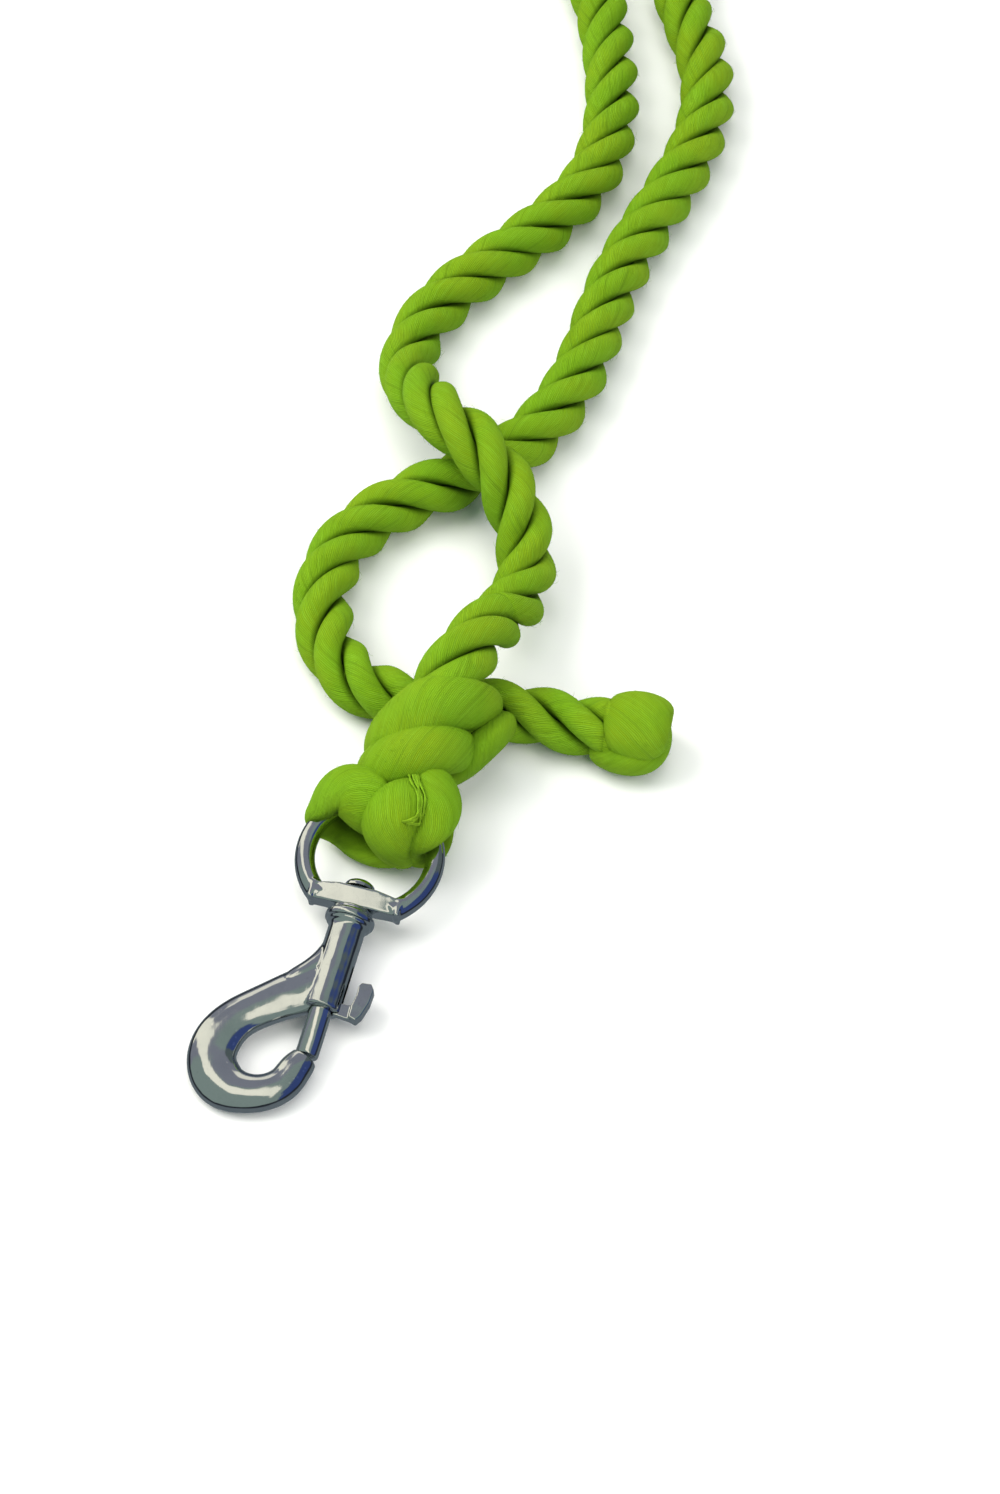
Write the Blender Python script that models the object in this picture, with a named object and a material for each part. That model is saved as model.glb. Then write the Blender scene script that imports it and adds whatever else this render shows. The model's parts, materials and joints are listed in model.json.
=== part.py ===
"""Three-strand cotton lead rope, eye-spliced to a swivel bolt snap.

World frame: metres, +Z up, the rope lies on z = 0.  +Y runs from the snap along the lead.
The snap is modelled in its own frame: origin at the centre of the wire at the top of the
swivel ring, +Y from the hook towards the rope, +Z up out of the ring's plane.
"""
import math

import bmesh
import bpy
import numpy as np
from mathutils import Matrix, Vector

MM = 0.001
CLEARANCE = 0.3 * MM

# Rope
ROPE_R = 10.0 * MM
ROPE_POINT_SPACING = 24.0 * MM
END_STRAIGHT = 5.0 * MM
STRAND_R = 4.2 * MM

# Where the snap lies: the top of its ring, its turn on the table and its nose-down tilt
RING_TOP = Vector((7.8, 17.8, 15.0)) * MM
SNAP_YAW = math.radians(-15.0)
SNAP_TILT = math.radians(5.8)

# Swivel ring
RING_R = 20.0 * MM
RING_WIRE_R = 3.0 * MM
RING_WIRE_GROWTH = 0.15
RING_ARC_END = math.radians(142)
RING_STEPS = 40
RING_SIDES = 14
BAR_HALF_WIDTH = 14.2 * MM
BAR_TOP_Y = -33.0 * MM
BAR_BOTTOM_Y = -38.6 * MM
BAR_HALF_THICK = 3.7 * MM
BAR_PEAK_Y = BAR_TOP_Y + 0.9 * MM
BAR_PEAK_SHARE = 0.45
BAR_BEVEL = 0.7 * MM

# Rivet, barrel and bolt, all turned about the snap's axis
RIVET_R = 2.2 * MM
RIVET_HEAD_R = 4.8 * MM
RIVET_HEAD_HEIGHT = 3.2 * MM
RIVET_HEAD_RIM = 0.5 * MM
RIVET_END_Y = -46.0 * MM
COLLAR_TOP_Y = BAR_BOTTOM_Y - CLEARANCE
# Collar: radius and how far below its top (mm)
COLLAR_PROFILE = (
    (5.6, 0.0), (6.2, 0.5), (6.4, 1.6), (7.4, 2.4), (7.4, 4.2), (6.9, 4.7), (6.0, 5.0), (5.7, 5.8),
)
BARREL_R = 5.7 * MM
BARREL_END_Y = -73.3 * MM
BARREL_CHAMFER = 0.5 * MM
BORE_END_Y = BARREL_END_Y - 4.5 * MM
SLOT_FROM_X = 2.0 * MM
SLOT_TO_X = 9.0 * MM
SLOT_HALF_WIDTH = 1.5 * MM
SLOT_END_Y = BARREL_END_Y - 4.0 * MM
SLOT_SPARE = 0.4 * MM
SLOT_BEVEL = 0.2 * MM
CUP_DEPTH = 4.0 * MM
BOLT_R = 3.5 * MM
BOLT_BACK_Y = -64.5 * MM
BOLT_TIP_Y = -88.8 * MM
BOLT_TRAVEL = 12.0 * MM
BOLT_BACK_CHAMFER = 0.4 * MM
BOLT_TIP_CHAMFER = 0.6 * MM
SPRING_END_GAP = 0.6 * MM
SPRING_COIL_R = 2.7 * MM
SPRING_WIRE_R = 0.3 * MM
SPRING_TURNS = 7
SPRING_STEPS = 12

# Thumb lever: a thin foot in the slot and a thicker thumb tab outside it (outlines in mm)
LEVER_FOOT_TOP_Y = -69.8 * MM
LEVER_FOOT_HALF_THICK = 1.15 * MM
LEVER_FOOT = ((3.8, -69.8), (3.8, -73.9), (9.4, -74.5), (10.6, -73.9), (10.2, -69.9))
LEVER_TAB_HALF_THICK = 2.1 * MM
LEVER_TAB = (
    (8.6, -70.2), (8.8, -74.0), (11.0, -74.7), (12.4, -72.6), (13.6, -68.0), (13.8, -63.6),
    (12.6, -62.0), (9.8, -62.2), (9.0, -63.8), (9.2, -66.6),
)
LEVER_BEVEL = 0.35 * MM

# Hook: centre x, centre y, half width in the hook's plane, half thickness (all mm), barrel to tip
HOOK_STATIONS = (
    (2.0, -61.0, 4.6, 4.2),
    (-4.6, -66.4, 7.4, 4.3),
    (-12.4, -72.2, 7.1, 4.3),
    (-18.2, -76.8, 6.6, 4.3),
    (-23.8, -82.4, 6.7, 4.3),
    (-27.1, -89.6, 7.3, 4.3),
    (-26.8, -97.0, 7.4, 4.3),
    (-21.9, -103.0, 7.5, 4.3),
    (-14.8, -104.4, 6.3, 4.3),
    (-8.2, -102.4, 5.6, 4.3),
    (-3.9, -98.3, 5.3, 4.3),
    (-2.2, -94.0, 5.1, 4.3),
    (-1.0, -91.0, 4.6, 4.1),
    (-0.3, -89.2, 4.0, 3.7),
)
HOOK_RINGS = 34
HOOK_SIDES = 14
HOOK_SECTION_POWER = 0.8
# The web that fairs the barrel into the hook, in the hook's plane (mm)
WEB_OUTLINE = (
    (-1.0, -48.0), (-4.8, -50.0), (-5.5, -55.0), (-7.6, -59.2), (-13.0, -63.6), (-14.0, -70.0), (-6.0, -72.5),
    (0.0, -68.0),
)
WEB_HALF_THICK = 3.6 * MM
WEB_BEVEL = 0.7 * MM

# Eye splice: three strands around the ring's wire, then the thick tucked neck
EYE_STRAND_X = {"left": -9.6, "middle": 0.0, "right": 9.6}
EYE_BEND_R = 9.5 * MM
EYE_STRAND_END_Y = 13.4 * MM
# Neck sections: centre x, y, z, half width, half height (mm, world frame, ring end first)
NECK_SECTIONS = (
    (11.4, 31.1, 18.0, 14.4, 13.2),
    (14.3, 35.9, 20.7, 15.2, 13.4),
    (18.0, 41.6, 24.8, 15.4, 12.2),
    (24.5, 51.6, 30.2, 14.4, 10.7),
    (30.5, 60.6, 32.4, 12.8, 10.6),
    (36.0, 70.6, 29.8, 11.0, 10.3),
    (41.0, 80.6, 24.5, 10.1, 10.1),
)
NECK_SIDES = 20
NECK_TURN_RINGS = 6

# The rope's route (mm): from the neck to the coil
SNAP_ROUTE = (
    (41.0, 80.6, 24.5), (46.6, 90.1, 19.5), (50.5, 104.6, 16.0), (50.0, 119.6, 19.0),
    (44.0, 135.1, 26.4), (33.7, 149.1, 31.0), (21.5, 163.6, 29.4), (14.0, 179.6, 21.5),
    (11.0, 198.6, 12.5), (16.0, 218.6, 10.0), (28.0, 235.6, 10.0), (45.0, 252.6, 10.0),
    (62.5, 270.6, 10.0), (76.5, 292.6, 10.0), (82.5, 318.6, 10.0), (82.5, 347.6, 10.0),
    (79.5, 378.6, 10.0),
)
# ... and from the coil back past the splice to the tail end
TAIL_ROUTE = (
    (109.5, 382.6, 10.0), (115.5, 355.6, 10.0), (117.5, 328.6, 10.0), (111.5, 301.6, 10.0),
    (100.5, 277.6, 10.0), (88.5, 253.6, 10.0), (79.5, 229.6, 10.0), (72.5, 205.6, 10.0),
    (63.5, 184.6, 10.0), (51.5, 167.6, 10.0), (36.5, 155.1, 10.0), (20.5, 146.6, 10.0),
    (5.5, 137.6, 10.0), (-7.5, 124.6, 10.0), (-14.0, 108.6, 10.0), (-14.5, 91.6, 10.0),
    (-9.5, 75.6, 10.0), (1.0, 64.1, 10.0), (16.0, 58.6, 10.0), (32.5, 57.1, 10.0),
    (48.5, 55.1, 10.0), (63.5, 51.1, 10.2), (76.5, 47.9, 11.0),
)
# Coil of the length that is put away
COIL_R = 100.0 * MM
COIL_CENTRE = Vector((9.5, 517.6, 0.0)) * MM
COIL_HEIGHT = 39.6 * MM
COIL_ROUNDING = 7.0 * MM
COIL_SIDES = 56
# Last stretches up to the coil's outside
SNAP_LEAD_IN = ((76.0, 392.5, 10.0), (69.2, 401.7, 10.0))
TAIL_LEAD_OUT = ((109.5, 449.5, 26.5), (109.5, 434.5, 21.0), (109.5, 418.5, 15.0), (109.5, 401.5, 10.8))

# Crown: it swells from the rope's size and closes over its last part in a blunt dome
CROWN_R = 12.0 * MM
CROWN_LENGTH = 21.0 * MM
CROWN_START_SIZE = 0.86
CROWN_SWELL = 0.5
CROWN_CLOSES_FROM = 0.45
CROWN_CLOSING = 0.58
CROWN_BLUNTNESS = 2.4
CROWN_LIFT = 1.0 * MM
CROWN_STEPS = 10
CROWN_SIDES = 18

TIE_HALF_WIDTH = 6.0 * MM
TIE_THICKNESS = 1.6 * MM
TIE_FOOT_Z = 7.5 * MM
TIE_CORNER = 3.0 * MM
TIE_CORNER_GAIN = 0.64 * MM


def material(name, colour, roughness, metallic):
    mat = bpy.data.materials.new(name)
    mat.use_nodes = True
    shader = mat.node_tree.nodes["Principled BSDF"]
    shader.inputs["Base Color"].default_value = (*colour, 1.0)
    shader.inputs["Roughness"].default_value = roughness
    shader.inputs["Metallic"].default_value = metallic
    mat.diffuse_color = (*colour, 1.0)
    return mat


def add_object(name, data, mat=None, parent=None):
    obj = bpy.data.objects.new(name, data)
    bpy.context.scene.collection.objects.link(obj)
    obj.parent = parent
    if mat:
        data.materials.append(mat)
    return obj


def mesh_from_rings(name, rings, closed=False):
    """A tube of quads through rings of points, capped at both ends unless closed."""
    bm = bmesh.new()
    loops = [[bm.verts.new(p) for p in ring] for ring in rings]
    pairs = list(zip(loops, loops[1:]))
    if closed:
        pairs.append((loops[-1], loops[0]))
    for a, b in pairs:
        for i in range(len(a)):
            j = (i + 1) % len(a)
            bm.faces.new((a[i], a[j], b[j], b[i]))
    if not closed:
        bm.faces.new(list(reversed(loops[0])))
        bm.faces.new(loops[-1])
    bmesh.ops.recalc_face_normals(bm, faces=bm.faces)
    mesh = bpy.data.meshes.new(name)
    bm.to_mesh(mesh)
    bm.free()
    mesh.shade_smooth()
    mesh.set_sharp_from_angle(angle=math.radians(40))
    return mesh


def turned(name, profile, sides=36):
    """A solid turned about Y from (radius, y) points; a radius of 0 closes an end in a point."""
    bm = bmesh.new()
    points = [bm.verts.new((r, y, 0.0)) for r, y in profile]
    edges = [bm.edges.new(pair) for pair in zip(points, points[1:])]
    bmesh.ops.spin(
        bm, geom=points + edges, cent=(0, 0, 0), axis=(0, 1, 0), angle=2 * math.pi, steps=sides
    )
    bmesh.ops.remove_doubles(bm, verts=bm.verts, dist=1e-6)
    bmesh.ops.recalc_face_normals(bm, faces=bm.faces)
    mesh = bpy.data.meshes.new(name)
    bm.to_mesh(mesh)
    bm.free()
    mesh.shade_smooth()
    mesh.set_sharp_from_angle(angle=math.radians(35))
    return mesh


def extruded(name, outline, half_thick, bevel):
    """An outline in the XY plane, extruded both ways along Z with bevelled edges."""
    bm = bmesh.new()
    face = bm.faces.new([bm.verts.new((x, y, -half_thick)) for x, y in outline])
    lifted = bmesh.ops.extrude_face_region(bm, geom=[face])["geom"]
    moved = [v for v in lifted if isinstance(v, bmesh.types.BMVert)]
    bmesh.ops.translate(bm, verts=moved, vec=(0, 0, 2 * half_thick))
    bmesh.ops.recalc_face_normals(bm, faces=bm.faces)
    bmesh.ops.bevel(bm, geom=bm.edges, offset=bevel, segments=2, profile=0.6, affect="EDGES")
    mesh = bpy.data.meshes.new(name)
    bm.to_mesh(mesh)
    bm.free()
    mesh.shade_smooth()
    mesh.set_sharp_from_angle(angle=math.radians(35))
    return mesh


def in_metres(outline):
    return [(x * MM, y * MM) for x, y in outline]


def tool(name, mesh, parent=None):
    """A guide that only shapes another object."""
    obj = add_object(name, mesh, None, parent)
    obj.hide_render = True
    obj.display_type = "WIRE"
    return obj


def combine(obj, other, operation):
    step = obj.modifiers.new(f"{operation.lower()}_{other.name}", "BOOLEAN")
    step.operation = operation
    step.object = other


def smooth_curve(route, samples=1500):
    """Points along the natural cubic spline through the route's points."""
    p = np.array(route, float)
    t = np.concatenate([[0], np.cumsum(np.sqrt(np.linalg.norm(np.diff(p, axis=0), axis=1)))])
    h = np.diff(t)
    n = len(p)
    system = np.eye(n)
    right = np.zeros((n, p.shape[1]))
    for i in range(1, n - 1):
        system[i, i - 1 : i + 2] = h[i - 1], 2 * (h[i - 1] + h[i]), h[i]
        right[i] = 6 * ((p[i + 1] - p[i]) / h[i] - (p[i] - p[i - 1]) / h[i - 1])
    bend = np.linalg.solve(system, right)
    at = np.linspace(0, t[-1], samples)
    k = np.clip(np.searchsorted(t, at, side="right") - 1, 0, n - 2)
    hk = h[k][:, None]
    a = (t[k + 1] - at)[:, None] / hk
    b = 1 - a
    cubic = ((a**3 - a) * bend[k] + (b**3 - b) * bend[k + 1]) * hk**2 / 6
    return a * p[k] + b * p[k + 1] + cubic


def evenly(points, spacing):
    """The same line with its points an even distance apart."""
    run = np.concatenate([[0], np.cumsum(np.linalg.norm(np.diff(points[:, :3], axis=0), axis=1))])
    count = max(2, int(round(run[-1] / spacing)) + 1)
    at = np.linspace(0, run[-1], count)
    return np.stack([np.interp(at, run, column) for column in points.T], axis=1)


def tube(name, points, radius, mat, parent=None, resolution=4):
    """A plain round tube with flat ends."""
    curve = bpy.data.curves.new(name, "CURVE")
    curve.dimensions = "3D"
    curve.bevel_depth = radius
    curve.bevel_resolution = resolution
    curve.use_fill_caps = True
    spline = curve.splines.new("POLY")
    spline.points.add(len(points) - 1)
    for target, point in zip(spline.points, points):
        target.co = (*point, 1.0)
    return add_object(name, curve, mat, parent)


def build_swivel_ring(snap, metal):
    """A round wire ring cast in one with the flat crossbar that carries the rivet."""
    rings = []
    for i in range(RING_STEPS + 1):
        turn = RING_ARC_END * (2 * i / RING_STEPS - 1)
        out = Vector((math.sin(turn), math.cos(turn), 0))
        wire = RING_WIRE_R * (1 + RING_WIRE_GROWTH * (turn / RING_ARC_END) ** 4)
        rings.append([
            out * (RING_R + wire * math.cos(a)) + Vector((0, -RING_R, wire * math.sin(a)))
            for a in (2 * math.pi * (k + 0.5) / RING_SIDES for k in range(RING_SIDES))
        ])
    ring = add_object("swivel_ring", mesh_from_rings("swivel_ring", rings), metal, snap)
    w, top, bottom = BAR_HALF_WIDTH, BAR_TOP_Y, BAR_BOTTOM_Y
    shoulder = w * BAR_PEAK_SHARE
    outline = [
        (-w, bottom), (w, bottom), (w, top), (shoulder, BAR_PEAK_Y), (-shoulder, BAR_PEAK_Y), (-w, top),
    ]
    bar = extruded("bar_shape", outline, BAR_HALF_THICK, BAR_BEVEL)
    combine(ring, tool("bar_shape", bar, snap), "UNION")
    bore_r, over = RIVET_R + CLEARANCE, 3 * MM
    bore = turned("bar_bore", [
        (0, BAR_PEAK_Y + over), (bore_r, BAR_PEAK_Y + over), (bore_r, bottom - over), (0, bottom - over),
    ], 24)
    combine(ring, tool("bar_bore", bore, snap), "DIFFERENCE")


def build_rivet(snap, metal):
    """Domed head inside the ring, shank through the crossbar into the collar."""
    seat = BAR_PEAK_Y + CLEARANCE
    rim = seat + RIVET_HEAD_RIM
    dome = [
        (RIVET_HEAD_R * math.sin(a), rim + (RIVET_HEAD_HEIGHT - RIVET_HEAD_RIM) * math.cos(a))
        for a in (math.radians(d) for d in range(0, 91, 15))
    ]
    profile = [*dome, (RIVET_HEAD_R, seat), (RIVET_R, seat), (RIVET_R, RIVET_END_Y), (0, RIVET_END_Y)]
    add_object("swivel_rivet", turned("swivel_rivet", profile, 28), metal, snap)


def hook_rings():
    fine = smooth_curve(HOOK_STATIONS)
    run = np.concatenate([[0], np.cumsum(np.linalg.norm(np.diff(fine[:, :2], axis=0), axis=1))])
    at = np.linspace(0, run[-1], HOOK_RINGS)
    path = np.stack([np.interp(at, run, column) for column in fine.T], axis=1)
    along = np.gradient(path[:, :2], axis=0)
    along /= np.linalg.norm(along, axis=1)[:, None]
    rings = []
    for (x, y, wide, thick), (dx, dy) in zip(path, along):
        ring = []
        for k in range(HOOK_SIDES):
            a = 2 * math.pi * (k + 0.5) / HOOK_SIDES
            c, s = math.cos(a), math.sin(a)
            u = math.copysign(abs(c) ** HOOK_SECTION_POWER, c) * wide
            v = math.copysign(abs(s) ** HOOK_SECTION_POWER, s) * thick
            ring.append(Vector((x - dy * u, y + dx * u, v)) * MM)
        rings.append(ring)
    return rings


def build_snap_body(snap, metal):
    """Barrel, collar, web and hook in one casting, bored for the bolt and its spring."""
    profile = [
        (0, COLLAR_TOP_Y), *((r * MM, COLLAR_TOP_Y - drop * MM) for r, drop in COLLAR_PROFILE),
        (BARREL_R, BARREL_END_Y + BARREL_CHAMFER), (BARREL_R - BARREL_CHAMFER, BARREL_END_Y),
        (0, BARREL_END_Y),
    ]
    body = add_object("snap_body", turned("snap_body", profile, 32), metal, snap)
    combine(body, tool("hook_shape", mesh_from_rings("hook_shape", hook_rings()), snap), "UNION")
    web = extruded("web_shape", in_metres(WEB_OUTLINE), WEB_HALF_THICK, WEB_BEVEL)
    combine(body, tool("web_shape", web, snap), "UNION")
    shank_r, bolt_r, start = RIVET_R + CLEARANCE, BOLT_R + CLEARANCE, COLLAR_TOP_Y + 2 * MM
    bore = turned("barrel_bore", [
        (0, start), (shank_r, start), (shank_r, RIVET_END_Y), (bolt_r, RIVET_END_Y),
        (bolt_r, BORE_END_Y), (0, BORE_END_Y),
    ], 32)
    combine(body, tool("barrel_bore", bore, snap), "DIFFERENCE")
    slot_top = LEVER_FOOT_TOP_Y + BOLT_TRAVEL + SLOT_SPARE
    slot_outline = [
        (SLOT_FROM_X, SLOT_END_Y), (SLOT_TO_X, SLOT_END_Y), (SLOT_TO_X, slot_top), (SLOT_FROM_X, slot_top),
    ]
    slot = extruded("lever_slot", slot_outline, SLOT_HALF_WIDTH, SLOT_BEVEL)
    combine(body, tool("lever_slot", slot, snap), "DIFFERENCE")
    cup_top, cup_floor = BOLT_TIP_Y + CUP_DEPTH, BOLT_TIP_Y - CLEARANCE
    cup = turned("tip_cup", [(0, cup_top), (bolt_r, cup_top), (bolt_r, cup_floor), (0, cup_floor)], 32)
    combine(body, tool("tip_cup", cup, snap), "DIFFERENCE")


def build_bolt(snap, metal, steel):
    """The sliding bolt, its thumb lever and the spring behind it."""
    carrier = bpy.data.objects.new("bolt_carrier", None)
    bpy.context.scene.collection.objects.link(carrier)
    carrier.parent = snap
    profile = [
        (0, BOLT_BACK_Y), (BOLT_R - BOLT_BACK_CHAMFER, BOLT_BACK_Y),
        (BOLT_R, BOLT_BACK_Y - BOLT_BACK_CHAMFER),
        (BOLT_R, BOLT_TIP_Y + BOLT_TIP_CHAMFER), (BOLT_R - BOLT_TIP_CHAMFER, BOLT_TIP_Y), (0, BOLT_TIP_Y),
    ]
    add_object("bolt", turned("bolt", profile, 28), metal, carrier)
    foot = extruded("thumb_lever", in_metres(LEVER_FOOT), LEVER_FOOT_HALF_THICK, LEVER_BEVEL)
    lever = add_object("thumb_lever", foot, metal, carrier)
    tab = extruded("tab_shape", in_metres(LEVER_TAB), LEVER_TAB_HALF_THICK, LEVER_BEVEL)
    combine(lever, tool("tab_shape", tab, carrier), "UNION")
    first, last = RIVET_END_Y - SPRING_END_GAP, BOLT_BACK_Y + SPRING_END_GAP
    steps = SPRING_TURNS * SPRING_STEPS
    helix = []
    for k in range(steps + 1):
        a = 2 * math.pi * k / SPRING_STEPS
        y = first + (last - first) * k / steps
        helix.append((SPRING_COIL_R * math.cos(a), y, SPRING_COIL_R * math.sin(a)))
    tube("bolt_spring", helix, SPRING_WIRE_R, steel, snap, resolution=1)


def build_eye_strands(snap, cotton):
    """Three strands that pass over, around and under the ring's wire."""
    for side, x_mm in EYE_STRAND_X.items():
        x = x_mm * MM
        wire_y = math.sqrt(RING_R**2 - x**2) - RING_R
        arc = [
            Vector((x, wire_y + EYE_BEND_R * math.cos(a), EYE_BEND_R * math.sin(a)))
            for a in (math.radians(d) for d in range(90, 271, 20))
        ]
        over = [Vector((x, EYE_STRAND_END_Y, 8.9 * MM)), Vector((x, 5 * MM, 9.4 * MM))]
        under = [Vector((x, 5 * MM, -9.4 * MM)), Vector((x, EYE_STRAND_END_Y, -8.4 * MM))]
        tube(f"eye_strand_{side}", [*over, *arc, *under], STRAND_R, cotton, snap, resolution=3)


def build_neck(snap_place, cotton):
    """The thick tucked part of the splice, tapering to the plain rope."""
    path = evenly(smooth_curve(NECK_SECTIONS), 4.0)
    along = np.gradient(path[:, :3], axis=0)
    along /= np.linalg.norm(along, axis=1)[:, None]
    squared = np.array(snap_place.to_3x3() @ Vector((0, 1, 0)))
    turned_into = np.clip(np.arange(len(path)) / NECK_TURN_RINGS, 0, 1)[:, None]
    along = squared * (1 - turned_into) + along * turned_into
    rings = []
    for (x, y, z, wide, high), direction in zip(path, along):
        forward = Vector(direction).normalized()
        side = forward.cross(Vector((0, 0, 1))).normalized()
        up = side.cross(forward)
        rings.append([
            (Vector((x, y, z)) + side * wide * math.cos(a) + up * high * math.sin(a)) * MM
            for a in (2 * math.pi * k / NECK_SIDES for k in range(NECK_SIDES))
        ])
    add_object("splice_neck", mesh_from_rings("splice_neck", rings), cotton)


def last_heading(route):
    fine = smooth_curve(route)
    return Vector(fine[-1][:3] - fine[-8][:3]).normalized()


def build_rope(cotton):
    """The two free stretches of rope and the coil of the rest."""
    snap_half = evenly(smooth_curve([*SNAP_ROUTE, *SNAP_LEAD_IN]) * MM, ROPE_POINT_SPACING)
    neck_end, neck_heading = Vector(NECK_SECTIONS[-1][:3]) * MM, last_heading(NECK_SECTIONS)
    square_start = [neck_end + neck_heading * CLEARANCE, neck_end + neck_heading * END_STRAIGHT]
    tube("rope_snap_half", [*square_start, *snap_half[1:]], ROPE_R, cotton)
    tail_half = evenly(smooth_curve([*TAIL_LEAD_OUT, *TAIL_ROUTE]) * MM, ROPE_POINT_SPACING)
    tail_end, tail_heading = Vector(TAIL_ROUTE[-1]) * MM, last_heading(TAIL_ROUTE)
    square_stop = [tail_end - tail_heading * END_STRAIGHT, tail_end]
    tube("rope_tail_half", [*tail_half[:-1], *square_stop], ROPE_R, cotton)
    corner, half = COIL_ROUNDING, ROPE_R
    section = []
    for cx, cz, start in (
        (half - corner, corner, 270), (half - corner, COIL_HEIGHT - corner, 0),
        (corner - half, COIL_HEIGHT - corner, 90), (corner - half, corner, 180),
    ):
        for degrees in (start, start + 30, start + 60, start + 90):
            a = math.radians(degrees)
            section.append((COIL_R + cx + corner * math.cos(a), cz + corner * math.sin(a)))
    rings = []
    for i in range(COIL_SIDES):
        turn = 2 * math.pi * i / COIL_SIDES
        rings.append([COIL_CENTRE + Vector((r * math.cos(turn), r * math.sin(turn), z)) for r, z in section])
    add_object("rope_coil", mesh_from_rings("rope_coil", rings, closed=True), cotton)


def build_crown(cotton):
    """The plump back-spliced end, lying in line with the last of the rope."""
    heading = last_heading(TAIL_ROUTE)
    start = Vector(TAIL_ROUTE[-1]) * MM + heading * CLEARANCE
    side = heading.cross(Vector((0, 0, 1))).normalized()
    up = side.cross(heading)
    rings = []
    for i in range(CROWN_STEPS + 1):
        t = i / CROWN_STEPS
        swell = min(1.0, CROWN_START_SIZE + CROWN_SWELL * t)
        into_dome = max(0.0, (t - CROWN_CLOSES_FROM) / CROWN_CLOSING)
        radius = CROWN_R * swell * math.sqrt(max(0.0, 1 - into_dome**CROWN_BLUNTNESS))
        centre = start + heading * CROWN_LENGTH * t + Vector((0, 0, CROWN_LIFT)) * min(1, 2 * t)
        rings.append([
            centre + (side * math.cos(a) + up * math.sin(a)) * radius
            for a in (2 * math.pi * k / CROWN_SIDES for k in range(CROWN_SIDES))
        ])
    add_object("tail_crown", mesh_from_rings("tail_crown", rings), cotton)


def build_tie(cord):
    """A soft tie over the coil's far side; its ends tuck in under the turns."""
    inner = COIL_R - ROPE_R - 3 * CLEARANCE
    outer = COIL_R + ROPE_R + CLEARANCE
    top = COIL_HEIGHT + CLEARANCE
    t, foot, cut, gain = TIE_THICKNESS, TIE_FOOT_Z, TIE_CORNER, TIE_CORNER_GAIN
    outline = [
        (outer, foot), (outer, top - cut), (outer - cut, top), (inner + cut, top), (inner, top - cut),
        (inner, foot), (inner - t, foot), (inner - t, top - cut + gain), (inner + cut - gain, top + t),
        (outer - cut + gain, top + t), (outer + t, top - cut + gain), (outer + t, foot),
    ]
    rings = [
        [COIL_CENTRE + Vector((x_offset, r, z)) for r, z in outline]
        for x_offset in (-TIE_HALF_WIDTH, TIE_HALF_WIDTH)
    ]
    add_object("coil_tie", mesh_from_rings("coil_tie", rings), cord)


def main():
    for obj in list(bpy.data.objects):
        bpy.data.objects.remove(obj, do_unlink=True)
    nickel = material("polished_nickel", (0.55, 0.57, 0.58), 0.12, 1.0)
    steel = material("spring_steel", (0.5, 0.5, 0.5), 0.35, 1.0)
    cotton = material("cotton_rope", (0.27, 0.68, 0.02), 0.9, 0.0)
    natural = material("tie_cotton", (0.75, 0.7, 0.58), 0.9, 0.0)

    snap = bpy.data.objects.new("snap_frame", None)
    bpy.context.scene.collection.objects.link(snap)
    turn = Matrix.Rotation(SNAP_YAW, 4, "Z") @ Matrix.Rotation(SNAP_TILT, 4, "X")
    snap.matrix_world = Matrix.Translation(RING_TOP) @ turn
    place = snap.matrix_world.copy()

    build_swivel_ring(snap, nickel)
    build_rivet(snap, nickel)
    build_snap_body(snap, nickel)
    build_bolt(snap, nickel, steel)
    build_eye_strands(snap, cotton)
    build_neck(place, cotton)
    build_rope(cotton)
    build_crown(cotton)
    build_tie(natural)


main()
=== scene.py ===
"""Looks of the lead rope: laid cotton strands, eye splice and polished bolt snap."""
import json
import math

import bmesh
import bpy
import numpy as np
from mathutils import Matrix, Vector
from mathutils.bvhtree import BVHTree


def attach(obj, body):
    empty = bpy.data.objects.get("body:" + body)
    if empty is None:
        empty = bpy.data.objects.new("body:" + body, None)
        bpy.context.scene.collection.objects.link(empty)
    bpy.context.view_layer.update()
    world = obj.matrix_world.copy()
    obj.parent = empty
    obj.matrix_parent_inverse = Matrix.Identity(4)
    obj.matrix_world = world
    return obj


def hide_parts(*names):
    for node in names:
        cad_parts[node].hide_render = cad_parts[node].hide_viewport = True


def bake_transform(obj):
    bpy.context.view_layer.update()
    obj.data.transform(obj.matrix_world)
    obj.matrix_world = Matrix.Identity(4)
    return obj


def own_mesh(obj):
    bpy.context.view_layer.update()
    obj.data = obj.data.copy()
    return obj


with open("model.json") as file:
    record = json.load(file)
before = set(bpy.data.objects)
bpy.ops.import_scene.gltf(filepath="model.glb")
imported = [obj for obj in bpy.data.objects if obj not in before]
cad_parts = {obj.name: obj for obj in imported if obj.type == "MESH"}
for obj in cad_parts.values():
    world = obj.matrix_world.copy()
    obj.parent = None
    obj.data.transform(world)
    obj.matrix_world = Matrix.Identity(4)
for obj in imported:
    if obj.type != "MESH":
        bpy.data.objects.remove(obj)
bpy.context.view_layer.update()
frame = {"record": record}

MM = 0.001

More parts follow.
